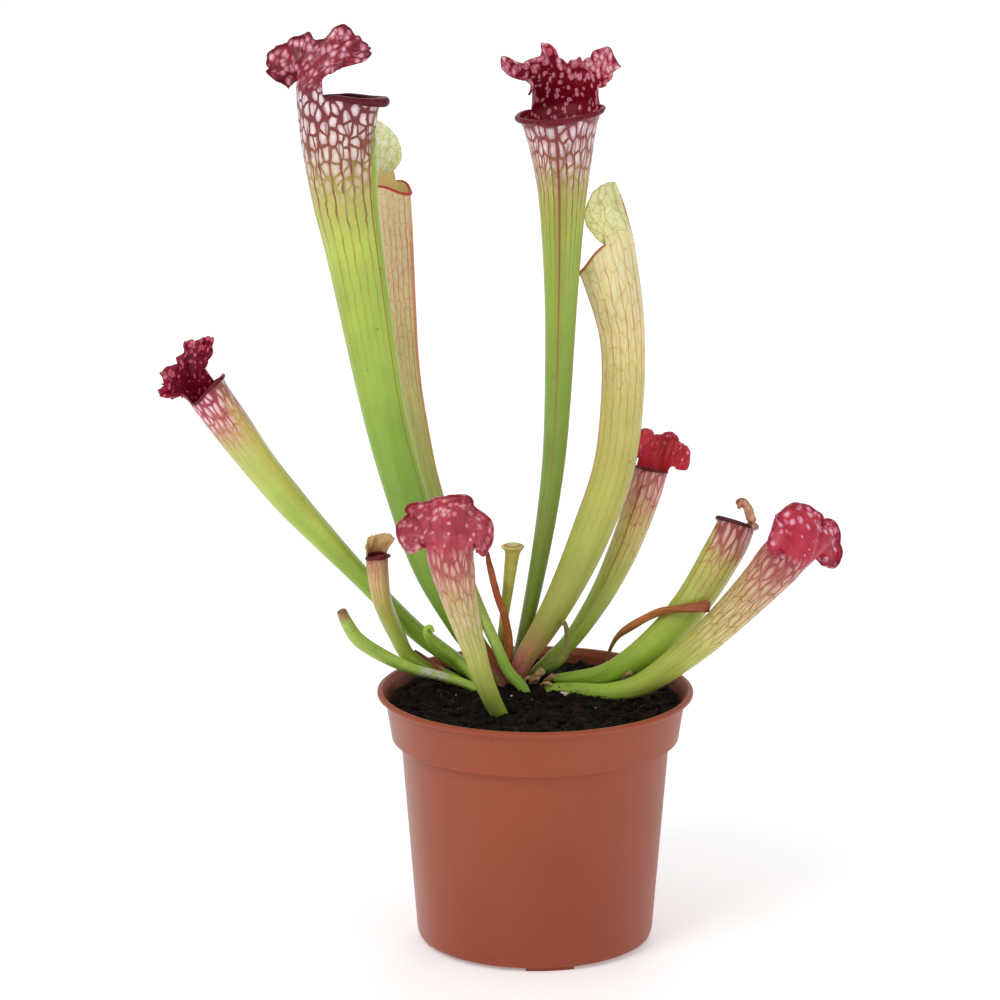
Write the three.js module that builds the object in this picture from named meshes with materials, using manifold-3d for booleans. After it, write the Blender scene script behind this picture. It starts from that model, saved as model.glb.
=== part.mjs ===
// A trumpet pitcher plant growing in a round nursery pot.
// Millimetres, +Z up. The origin is the middle of the pot's underside, on the surface it stands on.
// The front of the plant is -Y and its right-hand side is +X.
import * as THREE from "three";
import { mergeVertices } from "three/addons/utils/BufferGeometryUtils.js";
import Module from "manifold-3d";

const wasm = await Module();
wasm.setup();

// ---------------------------------------------------------------- driving dimensions

const RIM_DIAMETER = 120; // across the rolled lip, the size the pot is sold by
const POT_HEIGHT = 98.5;
const COLLAR_HEIGHT = 19; // the wide band below the lip
const COLLAR_STEP = 3.5; // how far the band stands out past the body
const BODY_TOP_RADIUS = 51;
const BASE_RADIUS = 45;
const POT_WALL = 1.1;
const FLOOR_THICKNESS = 1.6;
const FLOOR_RISE = 2.2; // the floor stands clear of the surface by this much
const FOOT_COUNT = 4;
const FOOT_HEIGHT = 1;
const FOOT_ANGLE = 24; // degrees of the base ring that each foot takes
const FOOT_TURN = -83; // degrees, the middle of the front foot
const PAD_RADIUS = 7; // flat pad in the middle of the underside
const DRAIN_HOLE_RADIUS = 4;
const DRAIN_HOLE_COUNT = 6;
const DRAIN_CIRCLE_RADIUS = 27;

const SOIL_EDGE_HEIGHT = 92.6; // soil level at the pot wall
const SOIL_MOUND = 2.2; // how much higher the soil stands round the crown
const SOIL_LUMP = 0.55; // half height of the crumbs on its surface
const SOIL_TOP = SOIL_EDGE_HEIGHT + SOIL_MOUND + 2 * SOIL_LUMP; // nothing of the soil is higher
const CROWN = { x: -6, y: 17 }; // where the leaves come together

const CLEARANCE = 0.3; // gap between pieces that touch
const HOLE_CLEARANCE = 0.42; // room round a foot, which bends inside its hole
const LEAF_WALL = 0.8; // thickness of a pitcher's wall and hood
const MOUTH_START = 0.88; // share of the way up a pitcher where its mouth begins to take shape
const POT_SIDES = 36;
const TUBE_SIDES = 12;
const STALK_SIDES = 8;

// ---------------------------------------------------------------- solids

// Turns a closed geometry into a solid, with its faces pointing out.
function solidOf(geometry) {
  const bare = new THREE.BufferGeometry();
  bare.setAttribute("position", geometry.getAttribute("position").clone());
  if (geometry.index) bare.setIndex(geometry.index);
  const merged = mergeVertices(bare, 1e-4);
  const position = merged.getAttribute("position").array;
  const corners = Array.from(merged.index.array);
  const triangles = [];
  for (let i = 0; i < corners.length; i += 3) {
    const [a, b, c] = corners.slice(i, i + 3);
    if (a !== b && b !== c && c !== a) triangles.push(a, b, c);
  }
  const point = (i) => new THREE.Vector3().fromArray(position, 3 * i);
  let volume = 0;
  for (let i = 0; i < triangles.length; i += 3) {
    const across = point(triangles[i + 1]).cross(point(triangles[i + 2]));
    volume += point(triangles[i]).dot(across) / 6;
  }
  if (volume < 0) triangles.reverse();
  const mesh = new wasm.Mesh({
    numProp: 3,
    vertProperties: Float32Array.from(position),
    triVerts: Uint32Array.from(triangles),
  });
  return new wasm.Manifold(mesh);
}

// A cut can leave a loose scrap behind; the body is the largest piece.
function bodyOf(solid) {
  return solid.decompose().reduce((best, body) => (body.volume() > best.volume() ? body : best));
}

function geometryOf(solid) {
  const mesh = solid.getMesh();
  const geometry = new THREE.BufferGeometry();
  geometry.setAttribute("position", new THREE.BufferAttribute(mesh.vertProperties, 3));
  geometry.setIndex(new THREE.BufferAttribute(mesh.triVerts, 1));
  geometry.computeVertexNormals();
  return geometry;
}

// Skins a row of closed rings, all with the same number of points, and closes both ends at a point.
function loft(rings) {
  const sides = rings[0].length;
  const points = rings.flat();
  const triangles = [];
  for (let row = 0; row < rings.length - 1; row += 1) {
    for (let side = 0; side < sides; side += 1) {
      const next = (side + 1) % sides;
      const a = row * sides + side;
      const b = row * sides + next;
      triangles.push(a, b, b + sides, a, b + sides, a + sides);
    }
  }
  const middle = (ring) => {
    const sum = ring.reduce((total, p) => total.add(p), new THREE.Vector3());
    return sum.divideScalar(ring.length);
  };
  const start = points.push(middle(rings[0])) - 1;
  const end = points.push(middle(rings[rings.length - 1])) - 1;
  const last = (rings.length - 1) * sides;
  for (let side = 0; side < sides; side += 1) {
    const next = (side + 1) % sides;
    triangles.push(start, next, side, end, last + side, last + next);
  }
  const geometry = new THREE.BufferGeometry().setFromPoints(points);
  geometry.setIndex(triangles);
  return solidOf(geometry);
}

// Gives a curved sheet its thickness. Both faces are split into triangles alike.
function thicken(sheet, thickness) {
  const rows = sheet.length;
  const columns = sheet[0].length;
  const at = (row, column) => {
    const r = THREE.MathUtils.clamp(row, 0, rows - 1);
    const c = THREE.MathUtils.clamp(column, 0, columns - 1);
    return sheet[r][c];
  };
  const faces = [[], []];
  for (let row = 0; row < rows; row += 1) {
    for (let column = 0; column < columns; column += 1) {
      const along = at(row + 1, column).clone().sub(at(row - 1, column));
      const across = at(row, column + 1).clone().sub(at(row, column - 1));
      const normal = along.cross(across).setLength(thickness / 2);
      faces[0].push(sheet[row][column].clone().add(normal));
      faces[1].push(sheet[row][column].clone().sub(normal));
    }
  }
  const count = rows * columns;
  const triangles = [];
  const quad = (a, b, c, d) => triangles.push(a, b, c, a, c, d);
  for (let row = 0; row < rows - 1; row += 1) {
    for (let column = 0; column < columns - 1; column += 1) {
      const a = row * columns + column;
      const b = a + 1;
      const c = b + columns;
      const d = a + columns;
      quad(a, b, c, d);
      triangles.push(count + a, count + c, count + b, count + a, count + d, count + c);
    }
  }
  const edge = [];
  for (let column = 0; column < columns - 1; column += 1) edge.push(column);
  for (let row = 0; row < rows - 1; row += 1) edge.push(row * columns + columns - 1);
  for (let column = columns - 1; column > 0; column -= 1) edge.push((rows - 1) * columns + column);
  for (let row = rows - 1; row > 0; row -= 1) edge.push(row * columns);
  edge.forEach((a, i) => {
    const b = edge[(i + 1) % edge.length];
    quad(b, a, count + a, count + b);
  });
  const geometry = new THREE.BufferGeometry().setFromPoints([...faces[0], ...faces[1]]);
  geometry.setIndex(triangles);
  return solidOf(geometry);
}

// ---------------------------------------------------------------- the pot

function potSolid() {
  const rim = RIM_DIAMETER / 2;
  const top = POT_HEIGHT;
  const collarBottom = top - COLLAR_HEIGHT;
  const collarRadius = BODY_TOP_RADIUS + COLLAR_STEP;
  const floorTop = FLOOR_RISE + FLOOR_THICKNESS;
  const profile = [
    [0, 0],
    [PAD_RADIUS, 0],
    [PAD_RADIUS + 1, FLOOR_RISE],
    [BASE_RADIUS - 6.5, FLOOR_RISE],
    [BASE_RADIUS - 5.5, FOOT_HEIGHT],
    [BASE_RADIUS - 2.4, FOOT_HEIGHT],
    [BASE_RADIUS - 0.8, FOOT_HEIGHT + 0.9],
    [BASE_RADIUS, FOOT_HEIGHT + 3],
    [BODY_TOP_RADIUS, collarBottom - 0.4],
    [collarRadius - 0.6, collarBottom],
    [collarRadius, collarBottom + 0.8],
    [rim - 3, top - 2.6],
    [rim - 1, top - 2.4],
    [rim, top - 1.5],
    [rim - 0.1, top - 0.6],
    [rim - 0.9, top],
    [rim - 1.9, top - 0.1],
    [rim - 2.5, top - 0.9],
    [rim - 3 - POT_WALL, top - 3.4],
    [collarRadius - POT_WALL, collarBottom + 1.6],
    [BODY_TOP_RADIUS - POT_WALL, collarBottom + 0.7],
    [BASE_RADIUS - POT_WALL, floorTop + 2],
    [BASE_RADIUS - POT_WALL - 1.5, floorTop],
    [0, floorTop],
  ];
  const shape = profile.map(([r, z]) => new THREE.Vector2(r, z));
  const wall = new THREE.LatheGeometry(shape, POT_SIDES).rotateX(Math.PI / 2);
  let pot = solidOf(wall);
  for (let i = 0; i < FOOT_COUNT; i += 1) pot = pot.add(footSolid(i));
  for (let i = 0; i < DRAIN_HOLE_COUNT; i += 1) pot = pot.subtract(drainHole(i));
  return pot;
}

// One foot: a low arc under the base ring, its top sunk into the ring.
function footSolid(index) {
  const middle = FOOT_TURN + (360 / FOOT_COUNT) * index;
  const from = THREE.MathUtils.degToRad(middle - FOOT_ANGLE / 2);
  const to = THREE.MathUtils.degToRad(middle + FOOT_ANGLE / 2);
  const arc = new THREE.Shape();
  arc.absarc(0, 0, BASE_RADIUS - 2.6, from, to, false);
  arc.absarc(0, 0, BASE_RADIUS - 5.3, to, from, true);
  const foot = new THREE.ExtrudeGeometry(arc, {
    depth: FOOT_HEIGHT + 0.4,
    bevelEnabled: false,
    curveSegments: 5,
  });
  return solidOf(foot);
}

function drainHole(index) {
  const angle = (2 * Math.PI * index) / DRAIN_HOLE_COUNT;
  const hole = new THREE.CylinderGeometry(DRAIN_HOLE_RADIUS, DRAIN_HOLE_RADIUS, 12, 16);
  hole.rotateX(Math.PI / 2);
  hole.translate(DRAIN_CIRCLE_RADIUS * Math.cos(angle), DRAIN_CIRCLE_RADIUS * Math.sin(angle), 2);
  return solidOf(hole);
}

// ---------------------------------------------------------------- soil and rhizome

// Height of the soil's crumbly surface at a place in the pot.
function soilHeight(x, y) {
  const reach = Math.hypot(x - CROWN.x, y - CROWN.y) / 55;
  const mound = SOIL_MOUND * Math.exp(-2.2 * reach * reach);
  const crumbs =
    Math.sin(0.62 * x + 1.3 * Math.sin(0.31 * y)) * Math.cos(0.55 * y + 0.8) +
    0.6 * Math.sin(1.17 * x - 0.9 * y + 2);
  return SOIL_EDGE_HEIGHT + mound + (SOIL_LUMP * crumbs) / 1.6;
}

function soilSolid() {
  const floor = FLOOR_RISE + FLOOR_THICKNESS + CLEARANCE;
  const collarBottom = POT_HEIGHT - COLLAR_HEIGHT;
  const inside = POT_WALL + CLEARANCE;
  const walls = [
    [BASE_RADIUS - inside - 1.6, floor],
    [BASE_RADIUS - inside, floor + 2],
    [BODY_TOP_RADIUS - inside, collarBottom + 1.1],
    [BODY_TOP_RADIUS + COLLAR_STEP - inside, collarBottom + 2],
    [BODY_TOP_RADIUS + COLLAR_STEP - inside + 1.6, SOIL_EDGE_HEIGHT - 1.5],
  ];
  const ring = (radius, height) => {
    const points = [];
    for (let side = 0; side < POT_SIDES; side += 1) {
      const angle = (2 * Math.PI * side) / POT_SIDES;
      const x = radius * Math.cos(angle);
      const y = radius * Math.sin(angle);
      points.push(new THREE.Vector3(x, y, height ?? soilHeight(x, y)));
    }
    return points;
  };
  const rings = walls.map(([radius, height]) => ring(radius, height));
  for (const radius of [54.3, 47, 39.5, 32, 24, 16, 7]) rings.push(ring(radius));
  return loft(rings);
}

// The rhizome: a knobbly stem lying just under the surface, which every leaf grows from.
const RHIZOME = { x: -9, y: 18, z: 88.6, length: 46, width: 27, height: 13.5, turn: -0.16 };

function rhizomeSolid(grow = 0) {
  const ball = new THREE.SphereGeometry(1, 18, 10);
  const position = ball.getAttribute("position");
  const p = new THREE.Vector3();
  for (let i = 0; i < position.count; i += 1) {
    p.fromBufferAttribute(position, i);
    const knobs = 1 + 0.05 * Math.sin(7 * p.x + 2) * Math.cos(5 * p.y) + 0.03 * Math.sin(9 * p.z);
    p.multiplyScalar(knobs);
    p.x *= RHIZOME.length / 2 + grow;
    p.y *= RHIZOME.width / 2 + grow;
    p.z *= RHIZOME.height / 2 + grow;
    position.setXYZ(i, p.x, p.y, p.z);
  }
  ball.rotateZ(RHIZOME.turn).translate(RHIZOME.x, RHIZOME.y, RHIZOME.z);
  return solidOf(ball);
}

// ---------------------------------------------------------------- leaves
// Each leaf is a tube along a line of stations [x, y, z, radius], from its foot in the rhizome to its
// mouth. "front" is the side that the keel runs up and the mouth opens to. "hood" is the outline of the
// lid, as [x, y, z] from the middle of the mouth, starting on the right of someone looking out of it.
// At the mouth "spout" lifts the front, "tilt" lifts the left side, "beak" draws the front out and
// "flare" widens it, as a share of the radius. The lid springs from the back of the lip, "spread"
// degrees to its left and right; its neck is "hug" of the mouth's width, moved left by "shift".

const LEAVES = {
  tall_left_pitcher: {
    front: [0.96, -0.28], keel: 0.2, lip: 1.4, spout: -1.5, hollow: 0.3, colour: 0x8fb83e,
    tilt: -3, beak: 3, flare: 0, spread: [50, 95], hug: 1, shift: 0,
    stations: [
      [-10.5, 15, 88, 2.6], [-12.3, 17.2, 96, 3.2], [-17.8, 20.6, 102.3, 3.8], [-24, 21.2, 110.4, 4.5],
      [-29.2, 19.6, 119.8, 5.5], [-41, 15, 144, 6.6], [-51, 12, 177, 7.2], [-58.5, 9, 208, 7.7],
      [-67.9, 5, 264, 9.9], [-71.7, 3, 286, 11.4], [-74, 1, 308, 12.9], [-75.4, 0, 325.5, 13.1],
    ],
    neck: 11,
    hood: [
      [-1.7, -12, 11.6], [4.3, -14, 12.6], [7.8, -12, 16.6], [14.8, -9, 15.6], [14.8, -4, 19.1],
      [10.3, 0, 23.1], [4.8, 3, 27.1], [-3.7, 4, 21.1], [-9.2, 8, 22.1], [-16.2, 10, 18.6],
      [-22.2, 12, 15.6], [-24.7, 9, 9.1], [-23.7, 6, 6.6], [-16.2, 8, 1.6],
    ],
  },
  tall_middle_pitcher: {
    front: [-0.12, -0.99], keel: 0.16, lip: 1.2, spout: 0.5, hollow: 0.45, colour: 0x9abf45,
    tilt: 1.5, beak: 0, flare: 0.1, spread: [66, 52], hug: 0.9, shift: 0,
    stations: [
      [-8.4, 30, 88, 2], [-8, 30.3, 97, 2.3], [-4.2, 29.5, 110.5, 2.6], [2.3, 24, 146, 3.5],
      [6.9, 20, 181, 4.4], [8.7, 18, 214, 5.2], [9.6, 17, 249, 6.4], [10, 16, 283, 8.9],
      [9.7, 15, 300, 11.4], [9.2, 14, 317, 14.2],
    ],
    neck: 9,
    hood: [
      [-11.5, 2, 5.6], [-13, 0, 13.6], [-21.5, -6, 16.1], [-21, -8, 21.6], [-13, 0, 18.6],
      [-8, 4, 22.1], [-5.5, 6, 25.6], [-2, 10, 21.1], [2.5, 12, 18.6], [8.5, 11, 20.1],
      [11.5, 8, 19.6], [16, -2, 25.6], [22, -6, 18.6], [19.5, 0, 13.6], [16, 4, 7.6],
    ],
  },
  tall_right_pitcher: {
    front: [-0.98, -0.2], keel: 0.16, lip: 0.6, spout: -6, hollow: 0.3, colour: 0xc8c46a,
    tilt: 4.5, beak: 0, flare: 0, spread: [100, 60], hug: 1, shift: 0,
    stations: [
      [-7, 22.5, 88, 2.6], [-6.5, 22.5, 95, 3], [-4, 22, 103.5, 3.7], [3.2, 22, 115, 4.7],
      [12, 22.5, 131, 5.8], [22, 24.5, 153.5, 7.1], [30.6, 26.5, 178.5, 7.4], [33.7, 28, 205.8, 7.7],
      [33.6, 29, 228, 8], [30.5, 29, 247, 9.6], [27, 29, 262, 10.8],
    ],
    neck: 12,
    hood: [
      [-0.5, 11, 3.3], [-4.5, 12, 6.8], [-6, 11, 12.3], [-3.5, 8, 20.3], [0, 4, 24.8], [3.5, 0, 26.3],
      [-1, -4, 26.3], [-6, -9, 23.3], [-8.5, -11, 15.3], [-7, -10, 9.8], [-3, -9, 5.3], [0, -8.5, 3.3],
    ],
  },
  back_left_pitcher: {
    front: [0.85, -0.52], keel: 0.2, lip: 0.6, spout: -3.8, hollow: 0.6, colour: 0xd0a878,
    tilt: 0, beak: 0, flare: 0, spread: [76, 76], hug: 0.97, shift: 0,
    stations: [
      [-2.8, 8.2, 88, 1.8], [-4.3, 8.6, 95.5, 2], [-10.2, 12, 101.5, 2.1], [-14.4, 15.8, 109.8, 2],
      [-22.4, 26.5, 125, 2.2], [-38.5, 34, 165, 3.3], [-46, 38, 195, 4.3], [-49.6, 41, 216, 5],
      [-51.8, 42.5, 239, 6], [-53.5, 44, 264, 6.6], [-55, 45, 284.5, 7],
    ],
    neck: 7,
    hood: [
      [-4.5, -3, 3.5], [-10.5, -3, 5.5], [-14, -3, 13.5], [-12, -2, 21], [-7.5, -1, 25], [1, 1, 20],
      [4, 2, 12.5], [2.5, 3, 6], [-1.5, 4.5, 3],
    ],
  },
  leaning_left_pitcher: {
    front: [0.75, -0.65], keel: 0.2, lip: 0.8, spout: 3.2, hollow: 0.3, colour: 0xa8c050,
    tilt: 0, beak: 2.2, flare: 0, spread: [70, 76], hug: 0.97, shift: 0,
    stations: [
      [-18.5, 22.5, 89, 2.5], [-21.5, 23.2, 96, 2.8], [-30, 24.5, 102, 3.2], [-47, 25.5, 115, 3.6],
      [-66.5, 22, 136.5, 4], [-80, 19, 152, 4.9], [-92.5, 16, 167, 6], [-103, 13, 181, 6.4],
      [-111.5, 11, 193.5, 7.2], [-119, 9, 205, 7.7], [-123.5, 8, 212, 7.8],
    ],
    neck: 6,
    hood: [
      [-9, -4, -2.8], [-15, -8, -0.8], [-18, -9, 2.2], [-16, -8, 5.2], [-17.5, -6, 8.7],
      [-11.5, 0, 11.2], [-9.5, 2, 13.7], [-7.5, 6, 18.7], [-1.5, 8, 19.2], [2.5, 8, 19.7],
      [2, 8, 14.7], [0, 8, 11.7], [-0.5, 8, 8.2],
    ],
  },
  front_pitcher: {
    front: [0.2, 0.98], keel: 0.2, lip: 0.8, spout: 0, hollow: 0.35, colour: 0xb7b65a,
    tilt: 0, beak: 0, flare: 0, spread: [100, 100], hug: 1.05, shift: -2,
    stations: [
      [-11, 5, 87, 2.6], [-12.2, -8, 88.5, 2.9], [-13.8, -17, 93.5, 3.2], [-16.6, -23, 101, 3.5],
      [-20.3, -28.5, 112, 4], [-23.4, -32.5, 124, 4.6], [-26, -35.5, 134, 5.6],
      [-28.9, -38.5, 146, 6.9], [-30.5, -40.5, 154.5, 8], [-31.8, -42, 162, 8.7],
    ],
    neck: 12,
    hood: [
      [10.5, -5, 2.1], [13, 0, 2.6], [13.5, 5, 5.6], [13.5, 7, 11.1], [8, 9, 15.6], [5.5, 8, 18.6],
      [-1, 8, 19.1], [-4, 9, 17.6], [-8.5, 10, 15.6], [-15, 10, 15.1], [-15, 8, 12.6], [-19, 3, 7.6],
      [-17.5, -2, 3.6], [-14.5, -5, 1.1], [-10, -7, 4.1],
    ],
  },
  back_right_pitcher: {
    front: [-0.35, -0.94], keel: 0.18, lip: 0.7, spout: 0.5, hollow: 0.35, colour: 0xb8bf58,
    tilt: 0.8, beak: 0, flare: 0, spread: [80, 80], hug: 1, shift: 0,
    stations: [
      [-1, 27.2, 88, 2.2], [0, 27.3, 95.5, 2.5], [6.5, 27.3, 102, 3], [14.8, 30, 110, 3.4],
      [24, 34, 123, 4.4], [29.9, 37, 133.5, 5.2], [35.8, 40, 146.5, 5.9], [41.5, 43, 162, 6.4],
      [44.8, 44, 173.3, 6.5],
    ],
    neck: 5,
    hood: [
      [-5, 1, 4.1], [-4.5, 0, 8.1], [-3, 2, 14.1], [0.5, 4, 14.1], [1, 5, 12.1], [4.5, 6, 11.6],
      [6.5, 6, 13.1], [9, 4, 12.6], [10, 2, 10.1], [13, 0, 9.1], [14, -2, 7.1], [13, -2, 0.1],
      [10, 1, -0.4],
    ],
  },
  right_pitcher: {
    front: [-0.95, -0.1], keel: 0.18, lip: 0.5, spout: 1, hollow: 0.3, colour: 0xa5b24c,
    tilt: 4, beak: 0, flare: 0, spread: [50, 50], hug: 0.97, shift: 0,
    stations: [
      [4, 21.5, 88, 2.2], [5.5, 21, 94.5, 2.4], [15, 17, 97.3, 2.9], [26.5, 12.5, 100.2, 4],
      [39, 9, 108, 5.2], [52, 6, 120.5, 6.1], [62, 3, 134.5, 6.6], [70, 0, 149.5, 7],
      [73.3, -1, 156, 7], [75.8, -2, 162.5, 6.6],
    ],
    neck: 2,
    hood: [
      [7.5, 0.5, 3], [7.5, 0.5, 6.5], [4, 0.5, 10], [1.5, 0.5, 12.5], [-1, 0, 10], [-1, -1.5, 7.5],
      [1.5, -2.5, 7], [4, -3, 6.5], [5.5, -3.5, 2.5],
    ],
  },
  low_right_pitcher: {
    front: [-0.75, 0.65], keel: 0.2, lip: 0.8, spout: 1, hollow: 0.3, colour: 0xb0c050,
    tilt: 0, beak: 0, flare: 0, spread: [100, 100], hug: 1.15, shift: 0,
    stations: [
      [3.5, 14, 88, 2.3], [5.5, 13, 93.5, 2.6], [16, 9.3, 94.8, 3.1], [27.5, 5, 95.4, 3.5],
      [41.5, -1, 100.5, 4.3], [59, -9, 115.8, 5.4], [71.2, -14, 128.8, 6.2], [83.8, -19, 143.8, 7.4],
      [90, -22, 152, 8.3], [94.3, -24, 157.5, 8.2],
    ],
    neck: 8,
    hood: [
      [12, 3, -6.2], [17.5, 8, -7.7], [20.5, 11, -5.2], [20, 13, -0.7], [20.5, 14, 3.3],
      [15.5, 13, 8.8], [11.5, 11, 8.8], [10.5, 8, 13.8], [2, 4, 17.8], [-5, 0, 14.8], [-5.5, -2, 12.8],
      [-8, -6, 5.3], [-7.5, -9, 2.8], [-2.5, -10, 0.3],
    ],
  },
  small_left_pitcher: {
    front: [0.35, -0.94], keel: 0.2, lip: 0.9, spout: 1.3, hollow: 0.6, colour: 0xa3a84a,
    tilt: 0, beak: 0, flare: 0, spread: [84, 84], hug: 0.97, shift: 0,
    stations: [
      [-27, 21, 88.5, 1.9], [-28.5, 21, 94.5, 2], [-34.5, 21.8, 97.6, 2.2], [-47.8, 19.5, 105, 2.8],
      [-52.8, 16.5, 115, 3.2], [-56.6, 12, 125, 3.5], [-58.5, 8, 132.5, 3.7],
      [-59.6, 6.5, 142, 4.1], [-59.9, 6, 148.5, 4.2],
    ],
    neck: 1.5,
    hood: [[-4.5, 1, 3.5], [-2.5, 2, 7], [0, 3, 7.5], [4.5, 3, 8], [6, 2, 6], [4.5, 2.5, 3]],
  },
};

// Leaves with no lid of their own: buds, cut and withered ones. They end in a plain or pinched tip.
const STALKS = {
  cut_green_stalk: {
    keel: 0.12, colour: 0x86a83c,
    stations: [
      [-19.5, 10.5, 88.5, 1.7], [-22.5, 10.8, 95, 1.8], [-33.8, 13.5, 98.7, 1.9],
      [-46, 10.5, 102.8, 2.1], [-57, 8, 108.5, 2.6], [-67, 5, 116, 2.7], [-71.7, 3, 124, 2.3],
      [-73.4, 2, 128.5, 1.9],
    ],
  },
  hooked_green_bud: {
    keel: 0.1, colour: 0x8db640,
    stations: [
      [-20.8, 16.6, 88.5, 1.4], [-22.5, 17, 96, 1.6], [-29.5, 18.5, 104, 1.9],
      [-35.7, 15.5, 109.5, 2.1], [-40.2, 12, 115, 1.9], [-41.3, 10.5, 118.5, 1.4],
      [-39.8, 9.8, 119.8, 1], [-38.8, 9.6, 117.8, 0.7],
    ],
  },
  capped_bud: {
    keel: 0.1, colour: 0xa8a445,
    stations: [
      [-14, 27.5, 88.5, 1.2], [-13.8, 27.3, 96, 1.4], [-12.6, 27, 112.5, 1.6],
      [-10.5, 26, 129, 2.1], [-9.4, 25.5, 138.3, 2.5], [-8.6, 25, 145.2, 3],
      [-8.5, 25, 147.4, 4.6], [-8.5, 25, 148.6, 2.6],
    ],
  },
  dying_bud: {
    keel: 0.25, colour: 0x9a9a48,
    stations: [
      [-0.5, 22.8, 89, 1.2], [0.8, 22.6, 96, 1.4], [4, 21.8, 99.5, 1.6], [8, 20.5, 102.5, 2.4],
      [11.2, 19.5, 106, 1.8], [12.2, 18, 111.7, 1.1], [12, 16.5, 117.4, 1],
      [11, 15.8, 120.2, 0.9], [10, 15.6, 119, 0.7],
    ],
  },
  dry_strap_leaf: {
    keel: 0, colour: 0xb0602c,
    stations: [
      [-11, 25, 88.5, 0.7], [-10.7, 24.7, 96, 0.8], [-9.8, 23.6, 105, 0.9],
      [-10.7, 21.5, 117, 1.1], [-14.6, 19, 130.5, 1], [-17.3, 18, 142, 0.8], [-18.2, 17.5, 147.5, 0.6],
    ],
  },
  withered_pitcher: {
    keel: 0.15, colour: 0xb4683a,
    stations: [
      [25.5, 30.5, 89, 0.8], [26.6, 28, 97, 0.8], [29, 22, 108, 1], [32, 15, 115, 1.3],
      [38.5, 8, 122, 1.5], [47.5, 1, 128.5, 1.3], [54.5, -4.5, 130.8, 1.4], [60, -7, 132, 2],
      [63.5, -7.6, 132.8, 2.4], [65.8, -8, 132.4, 1.4],
    ],
  },
  dead_leaf_scrap: {
    keel: 0, colour: 0x9a5a30,
    stations: [
      [-33, 17.6, 90.5, 0.8], [-34.2, 17.5, 96, 0.8], [-37, 16.8, 101.5, 1],
      [-41.5, 16.2, 105.5, 0.8], [-46, 15.5, 109, 0.6],
    ],
  },
  dry_crown_stub: {
    keel: 0, colour: 0xb99a6a,
    stations: [[-1.2, 17.4, 89, 1.5], [-0.8, 17, 95, 1.7], [1, 15.8, 99, 1.6], [3.2, 14.6, 101.5, 1]],
  },
};

// A leaf's line and thickness at any point along it, t running from 0 at the foot to 1 at the tip.
function spineOf(leaf) {
  const places = leaf.stations.map(([x, y, z]) => new THREE.Vector3(x, y, z));
  const radii = leaf.stations.map((station) => new THREE.Vector3(station[3], 0, 0));
  const line = new THREE.CatmullRomCurve3(places, false, "catmullrom", 0.5);
  const size = new THREE.CatmullRomCurve3(radii, false, "catmullrom", 0.5);
  const [frontX, frontY] = leaf.front ?? [0, -1];
  return (t) => {
    const along = line.getTangent(t);
    const front = new THREE.Vector3(frontX, frontY, 0);
    front.addScaledVector(along, -front.dot(along)).normalize();
    const left = along.clone().cross(front);
    return { middle: line.getPoint(t), along, front, left, radius: size.getPoint(t).x };
  };
}

// The wall of a tube with no mouth: no wider, not drawn out and not lifted.
const PLAIN = { flare: 0, out: () => 0, up: () => 0 };

// One closed ring round a leaf. Angle 0 is the keel; "shape" moves each point of the wall.
function ringAt(frame, keel, sides, grow = 0, shape = PLAIN) {
  const points = [];
  for (let side = 0; side < sides; side += 1) {
    const angle = (2 * Math.PI * side) / sides;
    const ridge = keel * Math.max(0, Math.cos(angle)) ** 10;
    const reach = frame.radius * (1 + ridge + shape.flare) + shape.out(angle) + grow;
    const point = frame.middle.clone();
    point.addScaledVector(frame.front, reach * Math.cos(angle));
    point.addScaledVector(frame.left, reach * Math.sin(angle));
    points.push(point.addScaledVector(frame.along, shape.up(angle)));
  }
  return points;
}

// How a pitcher's wall widens, is drawn out in front and lifts on its last stretch to the mouth.
function mouthShape(leaf, t, extra = 0) {
  const near = Math.max(0, (t - MOUTH_START) / (1 - MOUTH_START));
  const facing = (angle) => Math.max(0, Math.cos(angle));
  const lift = (angle) => leaf.spout * facing(angle) ** 2 + leaf.tilt * Math.sin(angle);
  return {
    flare: leaf.flare * near ** 3,
    out: (angle) => leaf.beak * near ** 3 * facing(angle) ** 4,
    up: (angle) => near * lift(angle) + extra,
  };
}

// A leaf with no mouth: its outer form as one solid.
function stalkSolid(leaf) {
  const spine = spineOf(leaf);
  const steps = stalkSteps(leaf);
  const rings = [];
  for (let step = 0; step <= steps; step += 1) {
    rings.push(ringAt(spine(step / steps), leaf.keel, STALK_SIDES));
  }
  return loft(rings);
}

// The hole that a leaf stands in follows the same rings, as far as they run near the soil.
function holeSolid(leaf, sides, steps) {
  const spine = spineOf(leaf);
  const rings = [ringAt(spine(0), leaf.keel, sides, CLEARANCE, { ...PLAIN, up: () => -CLEARANCE })];
  for (let step = 1; step <= steps; step += 1) {
    const frame = spine(step / steps);
    rings.push(ringAt(frame, leaf.keel, sides, HOLE_CLEARANCE));
    if (frame.middle.z - frame.radius > SOIL_TOP) break;
  }
  return loft(rings);
}

// The open trumpet: up the outside, over the rolled lip and down the inside to where it narrows.
function trumpetSolid(leaf, steps) {
  const spine = spineOf(leaf);
  const ring = (t, grow, extra) => ringAt(spine(t), leaf.keel, TUBE_SIDES, grow, mouthShape(leaf, t, extra));
  const rings = [];
  for (let step = 0; step < steps; step += 1) {
    rings.push(ring(step / steps, 0, 0));
  }
  rings.push(ring(1, 0, -0.6 * leaf.lip));
  rings.push(ring(1, leaf.lip, 0));
  rings.push(ring(1, 0.4 * leaf.lip, 0.9 * leaf.lip));
  rings.push(ring(1, -LEAF_WALL - 0.3 * leaf.lip, 0.5 * leaf.lip));
  for (let step = steps - 1; step / steps >= leaf.hollow; step -= 2) {
    rings.push(ring(step / steps, -LEAF_WALL, 0));
  }
  return loft(rings);
}

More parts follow.
